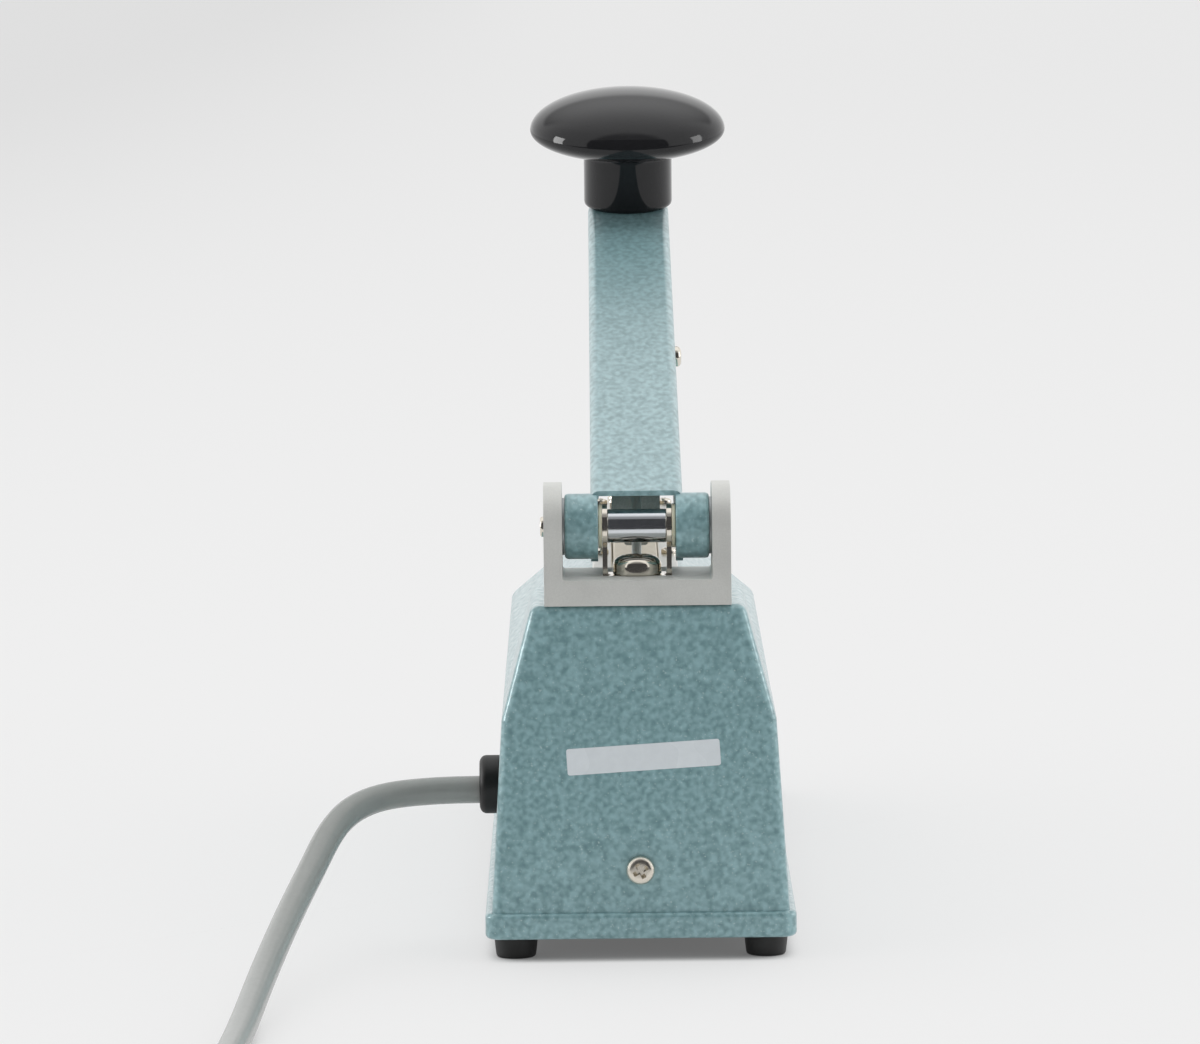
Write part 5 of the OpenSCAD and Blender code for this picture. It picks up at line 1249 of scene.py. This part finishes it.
class SEALER_OT_knob(bpy.types.Operator):
    """Polished press knob"""

    bl_idname = "sealer.knob"
    bl_label = "Knob"

    def execute(self, context):
        s = sizes()
        r, stem = s.knob_diameter / 2, s.stem_diameter / 2
        under = math.degrees(math.acos(stem / r))
        dome = [(r * math.cos(t), s.knob_height + s.knob_rise * math.sin(t)) for t in
                (math.radians(90 - 2.5 * k) for k in range(1, 37))]
        lower = [(r * math.cos(t), s.knob_height - s.knob_drop * math.sin(t)) for t in
                 (math.radians(under * k / 14) for k in range(1, 14))]
        low = s.knob_height - s.knob_drop * math.sin(math.radians(under))
        neck = [(stem + 0.9 * MM, low + 0.08 * MM), (stem + 0.25 * MM, low - 0.45 * MM), (stem, low - 1.2 * MM)]
        foot = [(stem, 1.4 * MM), (stem - 0.12 * MM, 0.6 * MM), (stem - 0.6 * MM, 0.12 * MM), (stem - 1.4 * MM, 0)]
        bore = [(3 * MM, 0), (3 * MM, 14 * MM), (0, 14 * MM)]
        profile = [(0, s.knob_height + s.knob_rise)] + dome + lower + neck + foot + bore
        knob = lathe("press_knob", profile, 96, ON_ARM @ Matrix.Translation((0, -s.arm_length, s.arm_top)))
        hand_over(knob, "knob", "arm", "knob", slot="black_plastic", flat_faces=False)
        return {"FINISHED"}


class SEALER_OT_bed(bpy.types.Operator):
    """Sealing bed: rail, end blocks, cover cloth and the strips that hold it"""

    bl_idname = "sealer.bed"
    bl_label = "Sealing bed"

    def execute(self, context):
        low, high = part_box("bed_rail")
        wide, ridge, ledge = high.x, 5.3 * MM, low.z + 7.5 * MM
        section = [(-wide, low.z), (wide, low.z), (wide, ledge), (ridge, ledge), (ridge, high.z), (-ridge, high.z),
                   (-ridge, ledge), (-wide, ledge)]
        rail = prism("drawn_rail", [(x, high.y, z) for x, z in section], (0, low.y - high.y, 0))
        round_edges(rail, 0.4 * MM, 3, lambda edge, middle: edge.is_convex, least=50)
        hand_over(rail, "rail", "base", "bed_rail", slot="aluminium")
        ends_low, ends_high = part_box("end_blocks")
        blocks = []
        for y0, y1 in ((ends_low.y, low.y), (high.y, ends_high.y)):
            made = block("end_block", (ends_low.x, y0, ends_low.z), (ends_high.x, y1, ends_high.z))
            blocks.append(round_edges(made, 0.5 * MM, 3))
        hand_over(join("insulating_blocks", blocks), "phenolic", "base", "end_blocks", slot="phenolic")
        strip_low, strip_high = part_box("cloth_strips")
        strips = []
        for side in (-1, 1):
            x0, x1 = sorted((side * 5.9 * MM, side * strip_high.x))
            made = block("strip", (x0, strip_low.y, strip_low.z), (x1, strip_high.y, strip_high.z))
            strips.append(round_edges(made, 0.35 * MM, 3))
        hand_over(join("clamp_strips", strips), "rail", "base", "cloth_strips", slot="aluminium")
        self.cloth()
        return {"FINISHED"}

    def cloth(self):
        """Cover cloth pulled over the ridge and tucked under the strips, a little uneven along its top."""
        low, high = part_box("cover_cloth")
        thick = sizes().cloth_thickness
        side, top, foot = 5.6 * MM - thick / 2, high.z - thick / 2, low.z + thick / 2
        corners = [(low.x, foot, 0), (-side, foot, 0.3), (-side, top, 0.4)]
        corners += [(side, top, 0.4), (side, foot, 0.3), (high.x, foot, 0)]
        path = soften([(x, z, r * MM) for x, z, r in corners])

        def sag(co):
            """A point of the cloth, a little lower here and there if it lies on top."""
            return co + Vector((0, 0, -0.03 * MM * (1 + noise.noise(co * 90)) * (co.z > top - 0.5 * MM)))

        cloth = chain("cover_cloth_sheet", [(x, high.y, z) for x, z in path])
        bpy.ops.mesh.select_all(action="SELECT")
        draw_out((0, low.y - high.y, 0))
        pick(cloth, "EDGE", lambda edge, middle: abs(edge.verts[0].co.y - edge.verts[1].co.y) > MM)
        bpy.ops.mesh.subdivide(number_cuts=63)
        close_up()
        pick(cloth, "VERT", lambda vertex, co: co.z > foot + MM)
        move_picked(cloth, sag)
        end_edit()
        apply_modifier(cloth, "SOLIDIFY", thickness=thick, offset=0, use_even_offset=True)
        hand_over(cloth, "cloth", "base", "cover_cloth", slot="cloth", flat_faces=False)


class SEALER_OT_lift(bpy.types.Operator):
    """Lift spring between the switch and the rod's clip"""

    bl_idname = "sealer.lift"
    bl_label = "Lift spring"

    turns = 4

    def execute(self, context):
        s = sizes()
        low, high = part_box("lift_spring")
        middle = Vector(((low.x + high.x) / 2, (low.y + high.y) / 2, 0))
        rise = high.z - low.z - s.spring_wire
        only()
        bpy.ops.mesh.primitive_circle_add(vertices=12, radius=s.spring_wire / 2)
        spring = name_new("wound_spring")
        begin_edit(spring)
        bpy.ops.transform.rotate(value=QUARTER_TURN, orient_axis="X", center_override=(0, 0, 0))
        bpy.ops.transform.translate(value=(s.spring_diameter / 2, 0, 0))
        end_edit()
        apply_modifier(
            spring, "SCREW", axis="Z", angle=FULL_TURN, screw_offset=rise / self.turns, iterations=self.turns,
            steps=28, render_steps=28, use_merge_vertices=False,
        )
        begin_edit(spring)
        bpy.ops.mesh.select_all(action="DESELECT")
        bpy.ops.mesh.select_mode(type="EDGE")
        bpy.ops.mesh.select_non_manifold()
        bpy.ops.mesh.fill()
        close_up()
        end_edit()
        set_in(spring, Matrix.Translation(middle + Vector((0, 0, low.z + s.spring_wire / 2))))
        hand_over(spring, "steel", "base", "lift_spring", slot="steel", flat_faces=False)
        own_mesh(spring)
        return {"FINISHED"}


class SEALER_OT_controls(bpy.types.Operator):
    """Timer dial with its numbers, and the signal lamp"""

    bl_idname = "sealer.controls"
    bl_label = "Dial and lamp"

    flutes = 18

    def execute(self, context):
        s = sizes()
        place = on_panel(*DIAL_SEAT) @ Matrix.Translation((0, 0, 0.6 * MM))
        r, top = s.dial_diameter / 2 / MM, s.dial_height / MM
        profile = [
            (7.5, 0, 0), (r, 0, 0.5), (r, 3, 0.8), (r - 1.5, 3.8, 0.3), (r - 2.1, top - 0.2, 1.4),
            (r - 5.2, top, 0.4), (r - 5.6, top - 0.5, 0.3), (0, top - 0.5, 0),
        ]
        dial = lathe("fluted_dial", scaled(soften(profile) + [(0, 5.1), (7.5, 5.1), (7.5, 0)]), 96)
        flutes = [
            lathe("flute", scaled([(0, 4.8), (1.1, 4.8), (1.5, 5.3), (1.5, 20), (0, 20)]), 20,
                  Matrix.Rotation(FULL_TURN * i / self.flutes, 4, "Z") @ Matrix.Translation(((r - 1.3) * MM, 0, 0)))
            for i in range(self.flutes)
        ]
        combine(dial, join("flutes", flutes))
        set_in(dial, place)
        hand_over(dial, "black_plastic", "timer_dial", "timer_dial", slot="black_plastic", smooth=30)
        self.numbers(place, (top - 0.5) * MM)
        lamp = on_panel(*LAMP_SEAT)
        rim = [(3.35, 0.8, 0), (4, -9, 0), (4, 0, 0), (5, 0, 0), (5, 1.6, 0.7), (3.35, 1.6, 0.3), (3.35, 0.8, 0)]
        bezel = lathe("lamp_rim", scaled(soften(rim)), 48, lamp)
        hand_over(bezel, "black_plastic", "base", "lamp_bezel", slot="black_plastic")
        dome = [(3.3 * math.cos(t), 1.9 + 1.1 * math.sin(t)) for t in (math.radians(a) for a in range(0, 90, 9))]
        lens = lathe("lamp_dome", scaled([(0, 0.8), (3.3, 0.8)] + dome + [(0, 3)]), 48, lamp)
        hand_over(lens, "lens", "base", "lamp_lens", slot="lens", flat_faces=False)
        return {"FINISHED"}

    def numbers(self, place, height):
        """Numbers round the dial's face, and its mark."""
        made = []
        for i in range(9):
            only()
            bpy.ops.object.text_add()
            text = name_new("number")
            text.data.body = str(i)
            text.data.size = 3.4 * MM
            text.data.align_x = text.data.align_y = "CENTER"
            text.data.extrude = 0.03 * MM
            text.data.resolution_u = 4
            only(text)
            bpy.ops.object.convert(target="MESH")
            turn = Matrix.Rotation(math.radians(140 - 35 * i), 4, "Z")
            out = Matrix.Translation((0, 8.6 * MM, height + 0.02 * MM))
            made.append(set_in(bpy.context.object, place @ turn @ out))
        mark = block("mark", (-0.35 * MM, 3 * MM, height - 0.02 * MM), (0.35 * MM, 6 * MM, height + 0.05 * MM), place)
        made.append(mark)
        hand_over(join("dial_numbers", made), "white", "timer_dial", flat_faces=False)


class SEALER_OT_inner(bpy.types.Operator):
    """Finishes of the solids that stay as they are"""

    bl_idname = "sealer.inner"
    bl_label = "Inner pieces"

    finishes = {
        "steel": ["base_plate", "switch_bracket", "transformer_strap", "rail_screws", "strap_screws", "board_screws",
                  "switch_screws", "bracket_nut", "potentiometer", "presser_pin", "thrust_washers"],
        "nickel": ["potentiometer_nut", "heating_ribbon", "terminal_nuts", "ribbon_clamps", "terminal_bolts"],
        "brass": ["guide_bush", "board_spacers"],
        "phenolic": ["terminal_bushes", "insulating_tape"],
        "core_steel": ["transformer_core"],
        "winding": ["transformer_coil"],
        "board": ["timer_board"],
        "nylon": ["switch_button"],
        "white": ["push_rod"],
        "black_plastic": ["micro_switch", "timer_relay", "timer_capacitor"],
        "cord": ["cord_tail"],
    }

    def execute(self, context):
        for finish, names in self.finishes.items():
            for name in names:
                slots = frame["nodes"][name].data.materials
                slots.clear()
                slots.append(FINISHES[finish])
        return {"FINISHED"}


class SEALER_PT_pieces(bpy.types.Panel):
    """The sealer's pieces, sizes and colours"""

    bl_idname = "SEALER_PT_pieces"
    bl_label = "Hand Impulse Sealer"
    bl_space_type = "VIEW_3D"
    bl_region_type = "UI"
    bl_category = "Sealer"

    def draw(self, context):
        for operator in OPERATORS:
            self.layout.operator(operator.bl_idname)
        for group in (context.scene.sealer_sizes, context.scene.sealer_colours):
            box = self.layout.box()
            for key in group.__annotations__:
                box.prop(group, key)


OPERATORS = (
    SEALER_OT_stage, SEALER_OT_cord, SEALER_OT_casting, SEALER_OT_label, SEALER_OT_feet, SEALER_OT_pivot,
    SEALER_OT_screws, SEALER_OT_arm, SEALER_OT_knob, SEALER_OT_bed, SEALER_OT_lift, SEALER_OT_controls,
    SEALER_OT_inner,
)
CLASSES = (SealerSizes, SealerColours, *OPERATORS, SEALER_PT_pieces)


def register():
    for kind in CLASSES:
        bpy.utils.register_class(kind)
    bpy.types.Scene.sealer_sizes = bpy.props.PointerProperty(type=SealerSizes)
    bpy.types.Scene.sealer_colours = bpy.props.PointerProperty(type=SealerColours)


def unregister():
    del bpy.types.Scene.sealer_colours
    del bpy.types.Scene.sealer_sizes
    for kind in reversed(CLASSES):
        bpy.utils.unregister_class(kind)


def main():
    register()
    for operator in OPERATORS:
        area, name = operator.bl_idname.split(".")
        getattr(getattr(bpy.ops, area), name)()
    only()


if __name__ == "__main__":
    main()
